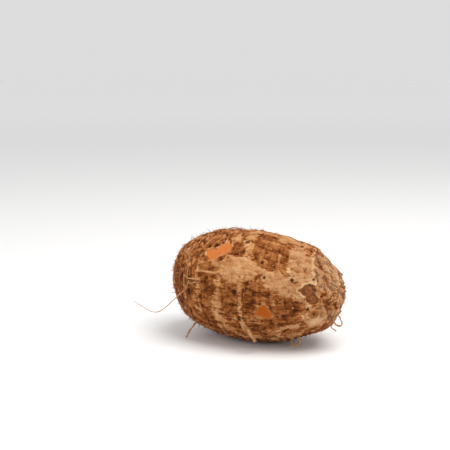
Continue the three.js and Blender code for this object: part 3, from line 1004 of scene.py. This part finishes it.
def bark_tone(p):
    """Both barks, then painted shade in the fissures, the brightest ring edges, flecks, rims, buds and pits.
    """
    value = broken_bark_tone(p) * (1 - p.paper) + p.paper * papery_bark_tone(p)
    # The fissures are darkened here: painted shade in the cracks.
    value = value - 0.18 * p.fissure * (1 - 0.6 * p.paper) + 0.35 * (p.crest - 0.9).clamped()
    speckled = 0.12 * p.flecks.ease(-0.4, -0.62) - 0.15 * p.flecks.ease(0.4, 0.65)
    value = value + speckled * (1 - 0.7 * p.paper)
    value = value + 0.28 * p.flake_rim.larger(1.25 * p.scrape_rim)
    in_bud = (p.bud + 0.15 * p.torn).ease(1.0, 0.75)
    value = value * (1 - in_bud) + in_bud * (0.56 + 0.2 * p.flecks + 0.15 * p.mottle)
    value = value + 0.2 * ((p.bud + 0.12 * p.torn).ease(1.3, 1.1) - in_bud) * (1 + p.beads).clamped()
    return value + 0.05 * (p.pit.ease(2.1, 1.5) - p.pit.ease(1.4, 1.1))


print(len(RINGS) + 1, "bands between rings differ a little in tone")

# %% [markdown]
# A knife has left orange flesh with pale specks, and painted shade makes it redder and darker low
# on the corm. Where a plate of bark has flaked off, the layer below is a dull, worn brown. Both are
# painted over the bark by the distances that the skin keeps, with the painted shade of the pits last.

# %% Bark
# Heights over the floor in mm: at the first the scraped flesh is pale, at the second darkest, as painted
# shade.
FLESH_SHADED_LOW = (54, 32)


def flaked_color(board, p):
    worn = painted(board, FLAKED_BROWN, FLAKED_PALE, (0.8 * p.flecks + 0.5 * p.specks + 0.1).clamped())
    return painted(board, worn, PIT_DARK, (0.15 + 0.8 * p.torn - 0.9 * p.flecks).clamped().smaller(0.7))


def scraped_color(board, p):
    # A random depth of tone, plus painted shade that darkens the flesh low on the corm.
    deep = (0.4 * p.deep + p.height.ease(*FLESH_SHADED_LOW)).clamped()
    speckled = (0.6 * p.specks + 0.4 * p.flecks + 0.3 * p.torn - 0.1).clamped() * (1 - 0.6 * deep)
    raw = painted(board, SCRAPED_TOP, SCRAPED_DEEP_AND_SHADED, deep)
    raw = painted(board, raw, SCRAPED_PALE, speckled + 0.25 * p.scrape_edge)
    return painted(board, raw, PIT_DARK, 0.3 * (0.5 * p.torn + 0.6 * p.flecks + 0.4 * p.threads).clamped())


def bark_finish():
    material, board = new_material("bark")
    p = bark_patterns(board)
    greyed = 0.5 * p.crown * (0.65 + 0.7 * p.blotch + 0.5 * p.flecks - p.dark).clamped()
    # Orange on the fibrous end: partly the strands' own colour, partly painted warm reflected light,
    # strongest at the root tip.
    orange = 0.3 * (0.5 + p.arcs + 0.6 * p.mottle).clamped() + 0.3 * p.way.ease(*ROOT_TIP_BOUNCE)
    # Pits and the middle of each bud are painted dark: painted shade in a hole.
    hole_shade = (p.pit + 0.2 * p.torn).ease(1.25, 0.7).larger(p.bud.ease(0.34, 0.16))
    bark = from_stops(board, BARK_STOPS, bark_tone(p))
    bark = painted(board, bark, CROWN_GREY, greyed + 0.2 * p.paper * p.way.ease(*GREY_PAPER))
    bark = painted(board, bark, FIBRE_ORANGE_AND_BOUNCE, orange * p.fibrous)
    bark = painted(board, bark, flaked_color(board, p), p.flaked)
    bark = painted(board, bark, scraped_color(board, p), p.scraped)
    bark = painted(board, bark, PIT_DARK, 0.85 * hole_shade)
    rough = 0.82 + 0.06 * p.specks - 0.1 * p.paper - 0.12 * p.scraped
    height = 0.2 * p.threads * p.lengthwise + 0.3 * p.specks + 0.3 * p.flecks
    close_material(board, {
        "Base Color": bark, "Roughness": rough.clamped(), "Specular IOR Level": 0.08,
        "Normal": bump(board, height * (1 - 0.6 * p.scraped), 0.8, 0.8),
    })
    return material


skin = make_piece("skin", skin_mesh, raised_skin, RELIEF, bark_finish())

# %% Measuring the relief
def points_of(mesh):
    numbers = np.empty(3 * len(mesh.vertices), np.float32)
    mesh.vertices.foreach_get("co", numbers)
    return numbers.reshape(-1, 3)


lifts = np.linalg.norm(points_of(skin.data) - points_of(skin_mesh), axis=1) / MM
print("the relief moves the skin by", round(float(lifts.mean()), 2), "mm on average")
print("and by", round(float(lifts.max()), 2), "mm at most")

# %% [markdown]
# ## Finishes of what grows on the bark
# Dry roots are a dull tan with darker streaks and rings. The papery flakes are the same stuff as
# the bark but seen edge on and clean, so they are paler. Soil is a dull grey-brown. These are
# small things, so one noise or two in each is enough.

# %% Roots, flakes and soil
ROOT_STOPS = [(0.0, linear(92, 56, 32)), (0.5, linear(160, 108, 66)), (1.0, linear(210, 162, 112))]
FLAKE_STOPS = [(0.0, linear(92, 52, 26)), (0.5, linear(158, 102, 58)), (1.0, linear(208, 158, 110))]
HAIR_STOPS = [(0.0, linear(86, 46, 20)), (0.5, linear(156, 92, 46)), (1.0, linear(208, 150, 96))]
SOIL_STOPS = [(0.0, linear(60, 36, 20)), (0.6, linear(110, 74, 46)), (1.0, linear(150, 112, 78))]


def small_finish(name, stops, cells, middle, roughness):
    """A tone about the middle one, from broad noise and from fine noise of so many cells a mm."""
    material, board = new_material(name)
    spot = board.spot()
    broad = board.noise(spot, 0.17, detail=3)
    fine = board.noise(spot, cells, detail=3, rough=0.65)
    close_material(board, {
        "Base Color": from_stops(board, stops, middle + 0.45 * broad + 0.35 * fine),
        "Roughness": roughness, "Specular IOR Level": 0.2, "Normal": bump(board, fine, 0.5, 0.3),
    })
    return material


dry_root = small_finish("dry root", ROOT_STOPS, cells=1.1, middle=0.66, roughness=0.8)
hair_root = small_finish("hair root", HAIR_STOPS, cells=1.1, middle=0.5, roughness=0.8)
papery_flake = small_finish("papery flake", FLAKE_STOPS, cells=0.8, middle=0.5, roughness=0.85)
dry_soil = small_finish("dry soil", SOIL_STOPS, cells=1.5, middle=0.4, roughness=0.95)
print("small finishes:", ", ".join(m.name for m in (dry_root, hair_root, papery_flake, dry_soil)))

# %% [markdown]
# ## Roots
# Taro roots are as thick as string, dry to a tan, wrinkled cord and are mostly cut or torn off
# short. Each is drawn as a line of a few points, with its thickness kept on the points. A tree
# turns the lines into smooth curves, bends them a little with noise, and sweeps a small ring along
# them, thicker and thinner as the noise says. A few lines stand in the places where the corm has
# them, and the side turned away gets its share from the same seeded rule as the solid model.

# %% Lines for the roots
# thickness at the start and at the tip in mm, and points in mm
FREE_ROOTS = [
    (2.0, 2.6, [(4.6, -36, 25.6), (7.2, -40.6, 22.5), (10.6, -41.2, 19.2), (15, -36.6, 9.3)]),
    (1.4, 1.1, [(-38, -17.5, 14.5), (-39.8, -21.2, 11), (-41.6, -24.4, 7.5), (-44.1, -26.4, 2)]),
    (0.8, 0.4, [(-37.5, -31, 43), (-42.2, -36.7, 39.3), (-50.2, -43.5, 30.4), (-58, -44.5, 24.6),
                (-66.5, -43.2, 24.8), (-79.3, -41.9, 29.9)]),
    (1.4, 1.0, [(37.6, -13, 10.4), (35.6, -16.2, 6.6), (38.6, -18.2, 3), (41.8, -16, 6.2),
                (39.4, -12.6, 9.8)]),
    (1.3, 1.0, [(60.5, -7.5, 26), (64.7, -9.4, 21.7), (68.3, -10.2, 19.4), (70.3, -7.4, 21),
                (66.5, -4, 25.5)]),
    (1.1, 0.8, [(61.5, -6, 26), (64.2, -8.6, 22), (63.2, -11, 18.4), (66.4, -9, 15.4)]),
]
# the same, by way, turn in degrees and height over the skin
CREEPING_ROOTS = [
    (1.2, 1.0, [(45.5, 72, -1.5), (48, 76, 1.2), (55.5, 77, 1.5), (60.5, 77, -1)]),
    (1.2, 1.0, [(47.5, 78, -1.5), (50.5, 81.5, 1.2), (54, 81.5, 1.5), (58.5, 78, -1)]),
    (1.0, 0.8, [(46, 57, -1.2), (47.5, 65, 0.9), (48, 75, 1.1), (48.7, 86, 0.4)]),
    (1.1, 0.8, [(50, 12, -1.5), (53, 8, 1.0), (58, 2, 1.4), (62, -3, 0.4)]),
    (1.1, 0.8, [(60, 4, -1.5), (62, -2, 1.0), (66, -5, 1.5), (71, -4, 0.4)]),
]
print("the seen side has", len(FREE_ROOTS), "roots that stand free and", len(CREEPING_ROOTS), "that creep")

# %% Growths on the side turned away
# how many there are, and the range of each of their numbers
BACK_ROOTS = 7
BACK_ROOT = {"way": (30, 120), "turn": (195, 330), "reach": (9, 20), "swing": (-26, 26), "thick": (1, 1.8)}
STUBS = 20
CUT_STUB = {"way": (26, 122), "turn": (176, 345), "radius": (0.8, 1.5), "length": (1.6, 4.2),
            "lean": (-0.5, 0.5)}
GROWTH_SEED = 12
# the solid model's rule keeps numbers to one word of 32 bits and takes this stride between them
WORD = 0xFFFFFFFF
STRIDE = 0x6D2B79F5


def seeded_chance(seed):
    """Numbers from 0 to 1, in the order in which the solid model draws them."""
    state = seed
    while True:
        state = (state + STRIDE) & WORD
        t = ((state ^ (state >> 15)) * (state | 1)) & WORD
        t ^= (t + (((t ^ (t >> 7)) * (t | 61)) & WORD)) & WORD
        yield ((t ^ (t >> 14)) & WORD) / (WORD + 1)


# The solid model's rule gives one number as it takes its seed, and that one isn't used.
growth_chance = seeded_chance(GROWTH_SEED)
next(growth_chance)


def drawn(low, high):
    return low + (high - low) * next(growth_chance)


def back_root():
    """Thickness at both ends, and a line that leaves the skin, creeps over it and ends free."""
    way = drawn(*BACK_ROOT["way"])
    turn = drawn(*BACK_ROOT["turn"])
    reach = drawn(*BACK_ROOT["reach"]) * (-1 if next(growth_chance) < 0.5 else 1)
    swing = drawn(*BACK_ROOT["swing"])
    thick = drawn(*BACK_ROOT["thick"])
    line = [(way, turn, -2), (way + 0.12 * reach, turn + 0.1 * swing, 1.8),
            (way + 0.5 * reach, turn + 0.5 * swing, 2.6), (way + reach, turn + swing, 1.2)]
    return thick, 0.7 * thick, line


def back_stub():
    """A cut stub: its foot on the skin, its direction, radius and length."""
    way = drawn(*CUT_STUB["way"])
    turn = math.radians(drawn(*CUT_STUB["turn"]))
    radius = drawn(*CUT_STUB["radius"])
    length = drawn(*CUT_STUB["length"])
    a = drawn(*CUT_STUB["lean"])
    b = drawn(*CUT_STUB["lean"])
    point, out, along = skin_frame(way, turn)
    round_skin = np.cross(out, along)
    toward = along * math.cos(a) * math.sin(b) - round_skin * math.sin(a) + out * math.cos(a) * math.cos(b)
    return point + out * lumps(np.array(way), turn), toward, radius, length


back_roots = [back_root() for _ in range(BACK_ROOTS)]
back_stubs = [back_stub() for _ in range(STUBS)]
print("the side turned away has", len(back_roots), "roots and", len(back_stubs), "stubs drawn for it")

# %% [markdown]
# Besides the cords the corm keeps many hair roots. They are a fifth to three quarters of a
# millimetre thick, pale, and lie over the bark in slack arcs, thickest on the root end. Each is a
# short walk over the skin from a seeded start: it keeps its heading, drifts a little at each step,
# and lifts off the bark towards its tip.

# %% Hair roots
# how many, first and last way, mean heading from round the corm, steps, thickness in mm, and lift
HAIR_SETS = [
    (220, (12, 133), 0.35, (4, 13), (0.18, 0.42), (0.0, 0.8)),
    (100, (9, 54), 0.0, (8, 24), (0.35, 0.75), (-0.3, 0.2)),
]
HAIR_SEED = 23
HAIR_STEP = 1.6
HAIR_DRIFT = 0.1
HAIR_WOBBLE = 0.2
HAIR_ENDS = (4, 160)
# The walk turns as if the corm were never thinner than this, so it doesn't spin at the tips.
THINNEST = 8


def hair_line(chance, ways, turned, steps, thickness, lifts):
    way = ways[0] + (ways[1] - ways[0]) * chance.beta(1.1, 1.6)
    degrees = chance.uniform(0, 360)
    heading = chance.normal(turned, 0.25 + 1.8 * turned)
    drift = chance.normal(0, HAIR_DRIFT)
    rise = chance.uniform(*lifts)
    count = chance.integers(*steps)
    line = []
    for k in range(count):
        _, radius = far_and_radius(way)
        share = k / count
        line.append((way, degrees, -0.5 + 0.9 * min(1, 3 * share) + rise * share**2))
        heading += drift + chance.normal(0, HAIR_WOBBLE)
        way = float(np.clip(way + HAIR_STEP * math.sin(heading), *HAIR_ENDS))
        degrees += math.degrees(HAIR_STEP * math.cos(heading) / max(radius, THINNEST))
    thick = chance.uniform(*thickness)
    return thick, 0.6 * thick, line


def crosses_scrape(line):
    ways, degrees, _ = np.array(line).T
    return patch_depth(ways, np.radians(degrees), SCRAPED).max() > -1


hair_chance = np.random.default_rng(HAIR_SEED)
hair_lines = [hair_line(hair_chance, *kind) for count, *kind in HAIR_SETS for _ in range(count)]
hair_lines = [hair for hair in hair_lines if not crosses_scrape(hair[2])]
print(len(hair_lines), "hair roots are left where none may cross a scrape")

# %% Lines as meshes
# A growth is left out if any of it would come this near the floor, in mm.
FLOOR_CLEAR = 0.8


def line_mesh(name, lines):
    """One mesh of bare edges: every line is a run of points that knows its radius."""
    points = []
    radii = []
    edges = []
    for start, tip, line in lines:
        if min(z for _, _, z in line) < FLOOR_CLEAR:
            continue
        first = len(points)
        points += [tuple(p) for p in line]
        radii += list(np.linspace(start / 2, tip / 2, len(line)))
        edges += [(first + k, first + k + 1) for k in range(len(line) - 1)]
    mesh = bpy.data.meshes.new(name)
    mesh.from_pydata(np.array(points) * MM, edges, [])
    store(mesh, "radius_mm", np.array(radii))
    return mesh


def laid_on(lines):
    """Turns places given by way, turn and height into points in mm."""
    return [(start, tip, [on_skin(*place) for place in line]) for start, tip, line in lines]


cord_mesh = line_mesh("cords", FREE_ROOTS + laid_on(CREEPING_ROOTS + back_roots))
hair_mesh = line_mesh("hairs", laid_on(hair_lines))
print("cords:", len(cord_mesh.edges), "edges, hair roots:", len(hair_mesh.edges), "edges")

# %% Sweeping the roots
# Step is the length of a piece of tube, Kink how far it bends and Swell how much it thickens.
CORD = {"Step": 0.7, "Kink": 0.6, "Swell": 0.6, "Sides": 8}
HAIR = {"Step": 0.8, "Kink": 0.3, "Swell": 0.2, "Sides": 4}


def uneven(board, geometry, reach, cells):
    """Moves every point by noise: reach in mm, cells for each mm."""
    inputs = {"Vector": board.spot(), "Scale": cells, "Detail": 2.0}
    step = board.add("ShaderNodeTexNoise", {}, inputs, out=1)
    step = board.add("ShaderNodeVectorMath", {"operation": "SUBTRACT"}, {0: step, 1: (0.5, 0.5, 0.5)})
    return moved(board, geometry, board.scaled(step, reach * 2 * MM))


def swept(board, curve, sides, radius):
    """A closed tube along a curve, from a ring of so many sides."""
    ring = board.add("GeometryNodeCurvePrimitiveCircle", {}, {"Resolution": sides, "Radius": 1.0})
    inputs = {"Curve": curve, "Profile Curve": ring, "Scale": radius, "Fill Caps": True}
    return board.add("GeometryNodeCurveToMesh", {}, inputs)


def swept_roots(board, given):
    curve = board.add("GeometryNodeMeshToCurve", {}, {0: given["Geometry"]})
    curve = board.add("GeometryNodeCurveSplineType", {"spline_type": "CATMULL_ROM"}, {0: curve})
    inputs = {"Curve": curve, "Length": given["Step"] * MM}
    curve = board.add("GeometryNodeResampleCurve", {"mode": "LENGTH"}, inputs)
    curve = uneven(board, curve, given["Kink"], 0.35)
    knots = 1 + 0.5 * given["Swell"] * board.noise(board.spot(), 0.6, detail=2)
    return swept(board, curve, given["Sides"], stored(board, "radius_mm") * knots * MM)


roots = make_piece("roots", cord_mesh, swept_roots, CORD, dry_root)
hairs = make_piece("hair_roots", hair_mesh, swept_roots, HAIR, hair_root)

# %% [markdown]
# ## Cut stubs
# Where a root was cut at harvest a short peg is left, a little wider at its foot. One peg is made
# and set on each point by its own direction and size, because the pegs differ only in those. Its
# foot is sunk in the skin, and noise then makes each one uneven.

# %% Stubs
STUB = {"Sides": 9, "Uneven": 0.35}
STUB_SUNK = 2
# a peg of height 1, with the radius of its foot and of its cut end
PEG = {"Side Segments": 4, "Radius Bottom": 1.0, "Radius Top": 0.8, "Depth": 1.0}


def clears_floor(foot, toward, radius, length):
    return foot[2] + min(0, toward[2]) * length > FLOOR_CLEAR + radius


def stub_mesh():
    standing = [stub for stub in back_stubs if clears_floor(*stub)]
    feet, directions, radii, lengths = (np.array(column) for column in zip(*standing))
    mesh = bpy.data.meshes.new("stub feet")
    mesh.from_pydata(feet * MM, [], [])
    store(mesh, "toward", directions)
    store(mesh, "size", np.stack([radii, radii, lengths + STUB_SUNK], axis=1) * MM)
    return mesh


def set_on(board, points, shape, rotation, size):
    """A copy of a shape on every point, made real."""
    inputs = {"Points": points, "Instance": shape, "Rotation": rotation, "Scale": size}
    copies = board.add("GeometryNodeInstanceOnPoints", {}, inputs)
    return board.add("GeometryNodeRealizeInstances", {}, {0: copies})


def set_stubs(board, given):
    peg = board.add("GeometryNodeMeshCone", {}, {"Vertices": given["Sides"], **PEG})
    toward = stored(board, "toward", "FLOAT_VECTOR")
    turned = board.add("FunctionNodeAlignRotationToVector", {"axis": "Z"}, {"Vector": toward})
    feet = moved(board, given["Geometry"], board.scaled(toward, -STUB_SUNK * MM))
    pegs = set_on(board, feet, peg, turned, stored(board, "size", "FLOAT_VECTOR"))
    return uneven(board, pegs, given["Uneven"], 0.55)


stubs = make_piece("stubs", stub_mesh(), set_stubs, STUB, dry_root)

# %% [markdown]
# ## Papery flakes
# The torn edge of each leaf ring is a fringe of papery bark, in pieces of one or two millimetres
# that curl up towards the crown. They are what makes the rings look pale and ragged from a step
# away. The flake is a thin closed sheet that narrows towards one end and curls at both. Seeded
# points near the ring lines each get one, turned and sized at random.

# %% Points and chances on the skin
SQUARE_CM = 10000


def chance(board, low, high, seed):
    """A random number for each point, or three when the limits have three."""
    three = isinstance(low, tuple)
    settings = {"data_type": "FLOAT_VECTOR" if three else "FLOAT"}
    first = 0 if three else 2
    return board.add("FunctionNodeRandomValue", settings, {first: low, first + 1: high, "Seed": seed},
                     out=0 if three else 1)


def scatter(board, given, density):
    """Seeded points on the skin, each with a frame: X along the corm and Z outward."""
    inputs = {"Mesh": given["Geometry"], "Density": density, "Seed": given["Seed"]}
    points = board.add("GeometryNodeDistributePointsOnFaces", {"distribute_method": "RANDOM"}, inputs)
    settings = {"primary_axis": "Z", "secondary_axis": "X"}
    inputs = {"Primary Axis": stored(board, "out", "FLOAT_VECTOR"),
              "Secondary Axis": stored(board, "along", "FLOAT_VECTOR")}
    return points, board.add("FunctionNodeAxesToRotation", settings, inputs)


def turned_by(board, rotation, euler):
    inputs = {"Rotation": rotation, "Rotate By": board.add("FunctionNodeEulerToRotation", {}, {0: euler})}
    return board.add("FunctionNodeRotateRotation", {"rotation_space": "LOCAL"}, inputs)


def near_ring(board, far, close):
    """0 at the far distance from a ring line in mm, 1 at the close one."""
    return abs(stored(board, "ring_away")).ease(far, close)


def open_skin(board):
    """1 where nothing keeps growths away: not on scraped bark, in a pit or under the corm."""
    clear = stored(board, "scraped").ease(0.0, -1.0) * stored(board, "pit").ease(0.9, 1.4)
    clear = clear * (1 - 0.8 * stored(board, "pale").clamped())
    return clear * (1 - stored(board, "rubbed")) * stored(board, "bud").ease(1.0, 1.3)


print("growths are counted for each square centimetre, and there are", SQUARE_CM, "of them in a square metre")

# %% Flakes
FLAKE = {"Seed": 3, "Per square cm": 16.0, "On bare bark": 0.01, "On fibres": 0.14}
# A flake's length, width and thickness in mm. The two bends are per metre: at 1 mm from its middle
# it is narrower by 0.45 of its width, and curls up by 0.16 mm.
SHEET = (2.0, 1.5, 0.16)
SHEET_CUTS = {"Vertices X": 4, "Vertices Y": 3, "Vertices Z": 2}
NARROWS = -450
CURLS = 160
# lowest and highest tilt about X, Y and Z in radians, and size along them
FLAKE_TILT = ((-0.5, -0.6, -0.9), (0.5, 0.15, 0.9))
FLAKE_SIZE = ((0.45, 0.5, 0.8), (1.25, 1.6, 1.2))
LARGER_FLAKES = (136, 148)


def set_flakes(board, given):
    wanted = near_ring(board, 1.6, 0.3) * (0.25 + stored(board, "ring_pale")) + given["On bare bark"]
    wanted = wanted + given["On fibres"] * stored(board, "fibrous")
    density = given["Per square cm"] * SQUARE_CM * wanted * open_skin(board)
    points, frame_here = scatter(board, given, density * stored(board, "flaked").ease(0.2, -0.4))
    sheet = board.add("GeometryNodeMeshCube", {}, {"Size": tuple(side * MM for side in SHEET), **SHEET_CUTS})
    place = board.add("GeometryNodeInputPosition")
    x = board.axis(place, 0)
    y = board.axis(place, 1)
    bent = board.add("ShaderNodeCombineXYZ", {}, {1: x * y * NARROWS, 2: x * x * CURLS})
    sheet = moved(board, sheet, bent)
    turned = turned_by(board, frame_here, chance(board, *FLAKE_TILT, given["Seed"]))
    larger = 1 + 0.7 * stored(board, "way").ease(*LARGER_FLAKES)
    size = board.scaled(chance(board, *FLAKE_SIZE, given["Seed"] + 1), larger)
    return uneven(board, set_on(board, points, sheet, turned, size), 0.4, 0.7)


flakes = make_piece("flakes", skin.data.copy(), set_flakes, FLAKE, papery_flake)

# %% [markdown]
# ## Fibres and soil
# Under the papery bark the corm is wrapped in fibres, and torn ends of them stand off as a thin
# fuzz, most of all on the root end and along the rings. Between them sit crumbs of dry soil. Both
# are far too many to place by hand, so both are one small shape on seeded points. The fibre is a
# bent, three-sided thread, since nobody counts its sides, and the crumb is a coarse ball that
# noise makes uneven.

# %% Fibres
FIBRE = {"Seed": 11, "Per square cm": 3.0, "Thick": 0.12}
# a thread that leaves the skin and bends over along it: start, middle and end in mm
THREAD = {"Start": (0, 0, -0.5), "Middle": (0.5, 0, 1.3), "End": (2.6, 0, 1.5)}
THREAD_STEPS = 6
THREAD_SIDES = 3
FIBRE_TILT = ((-0.5, -0.7, -3.1), (0.5, 0.4, 3.1))
FIBRE_SIZE = (0.5, 1.5)


def set_fibres(board, given):
    wanted = 0.2 + 2.4 * stored(board, "fibrous") + 0.6 * near_ring(board, 2.2, 0.4)
    density = given["Per square cm"] * SQUARE_CM * (wanted * open_skin(board))
    points, frame_here = scatter(board, given, density)
    inputs = {name: tuple(c * MM for c in place) for name, place in THREAD.items()}
    thread = board.add("GeometryNodeCurveQuadraticBezier", {}, {"Resolution": THREAD_STEPS, **inputs})
    along = board.add("GeometryNodeSplineParameter", {}, {}, out=0)
    thread = swept(board, thread, THREAD_SIDES, given["Thick"] * MM * (1.1 - 0.7 * along))
    turned = turned_by(board, frame_here, chance(board, *FIBRE_TILT, given["Seed"]))
    size = chance(board, *FIBRE_SIZE, given["Seed"] + 1)
    return uneven(board, set_on(board, points, thread, turned, size), 0.45, 0.25)


fibres = make_piece("fibres", skin.data.copy(), set_fibres, FIBRE, hair_root)

# %% Crumbs
CRUMB = {"Seed": 5, "Per square cm": 3.0, "Radius": 0.4}
ANY_TURN = ((0, 0, 0), (6, 6, 6))
CRUMB_SIZE = (0.5, 1.3)


def set_crumbs(board, given):
    low = stored(board, "low")
    wanted = 0.1 + 1.2 * stored(board, "groove") + 0.5 * stored(board, "dark") + 3 * low
    density = given["Per square cm"] * SQUARE_CM * wanted * open_skin(board)
    points, _ = scatter(board, given, density)
    inputs = {"Radius": given["Radius"] * MM, "Subdivisions": 1}
    ball = board.add("GeometryNodeMeshIcoSphere", {}, inputs)
    turned = board.add("FunctionNodeEulerToRotation", {}, {0: chance(board, *ANY_TURN, given["Seed"])})
    size = chance(board, *CRUMB_SIZE, given["Seed"] + 1) * (1 + 0.8 * low)
    return uneven(board, set_on(board, points, ball, turned, size), 0.2, 1.2)


crumbs = make_piece("crumbs", skin.data.copy(), set_crumbs, CRUMB, dry_soil)

# %% [markdown]
# ## Floor and light
# The corm lay on a white ground in broad, soft light from above, a little from the right, with
# hardly a shadow. A pale floor that runs to the horizon, a bright even sky and two large lamps do
# the same. The lamps are wide, so that the ridges show without hard edges. Far off the floor turns
# white, because a white floor under an even sky is as bright as the sky, and no line shows between.

# %% Floor, sky and lamps
FLOOR_HALF = 30.0
FLOOR_DROP = 0.0003
FLOOR_NEAR = (0.86, 0.86, 0.86, 1)
FLOOR_FAR = (1.0, 1.0, 1.0, 1)
FLOOR_FADE = (0.5, 4.0)
SKY = (1.0, 1.0, 1.0, 1)
SKY_STRENGTH = 0.72
# name, place, width, power, and colour
LAMPS = [
    ("key", (0.45, -0.1, 1.1), 0.8, 11, (1.0, 0.98, 0.95)),
    ("fill", (-0.9, -1.0, 0.6), 0.9, 3, (0.95, 0.97, 1.0)),
]
LAMPS_AIM = (0, 0, 0.04)


def make_floor():
    material, board = new_material("pale floor")
    place = board.add("ShaderNodeTexCoord", {}, {}, out="Object")
    far = board.add("ShaderNodeVectorMath", {"operation": "LENGTH"}, {0: place}, out=1)
    color = painted(board, FLOOR_NEAR, FLOOR_FAR, far.ease(*FLOOR_FADE))
    close_material(board, {"Base Color": color, "Roughness": 0.9})
    corners = [(x * FLOOR_HALF, y * FLOOR_HALF, -FLOOR_DROP) for x, y in ((-1, -1), (1, -1), (1, 1), (-1, 1))]
    mesh = bpy.data.meshes.new("floor")
    mesh.from_pydata(corners, [], [(0, 1, 2, 3)])
    mesh.materials.append(material)
    return link("floor", mesh)


def make_lamp(name, place, width, power, color):
    data = bpy.data.lights.new(name, "AREA")
    data.size = width
    data.energy = power
    data.color = color
    lamp = link(name, data)
    lamp.location = place
    aim = Vector(LAMPS_AIM) - lamp.location
    lamp.rotation_euler = aim.to_track_quat("-Z", "Y").to_euler()


def make_sky():
    world = bpy.data.worlds.new("sky")
    world.use_nodes = True
    background = world.node_tree.nodes["Background"]
    background.inputs["Color"].default_value = SKY
    background.inputs["Strength"].default_value = SKY_STRENGTH
    bpy.context.scene.world = world


floor = make_floor()
for lamp in LAMPS:
    make_lamp(*lamp)
make_sky()
bpy.context.scene.view_settings.view_transform = "Standard"
print("lamps:", ", ".join(name for name, *_ in LAMPS))

# %% [markdown]
# ## Joining the solid model
# The skin stands for the corm's own solid, and everything that grows on it moves with it. The
# last lines measure the dressed corm against the solid one.

# %% Ride, replace and measure
floor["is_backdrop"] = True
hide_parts("corm")
for piece in (skin, roots, hairs, stubs, flakes, fibres, crumbs):
    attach(piece, "root")
dressed_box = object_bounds()
boxes = {"solid": solid_box, "dressed": dressed_box}
{name: [list(map(float, corner)) for corner in box] for name, box in boxes.items()}
print("dressed box in metres:", [[round(x, 4) for x in corner] for corner in dressed_box])
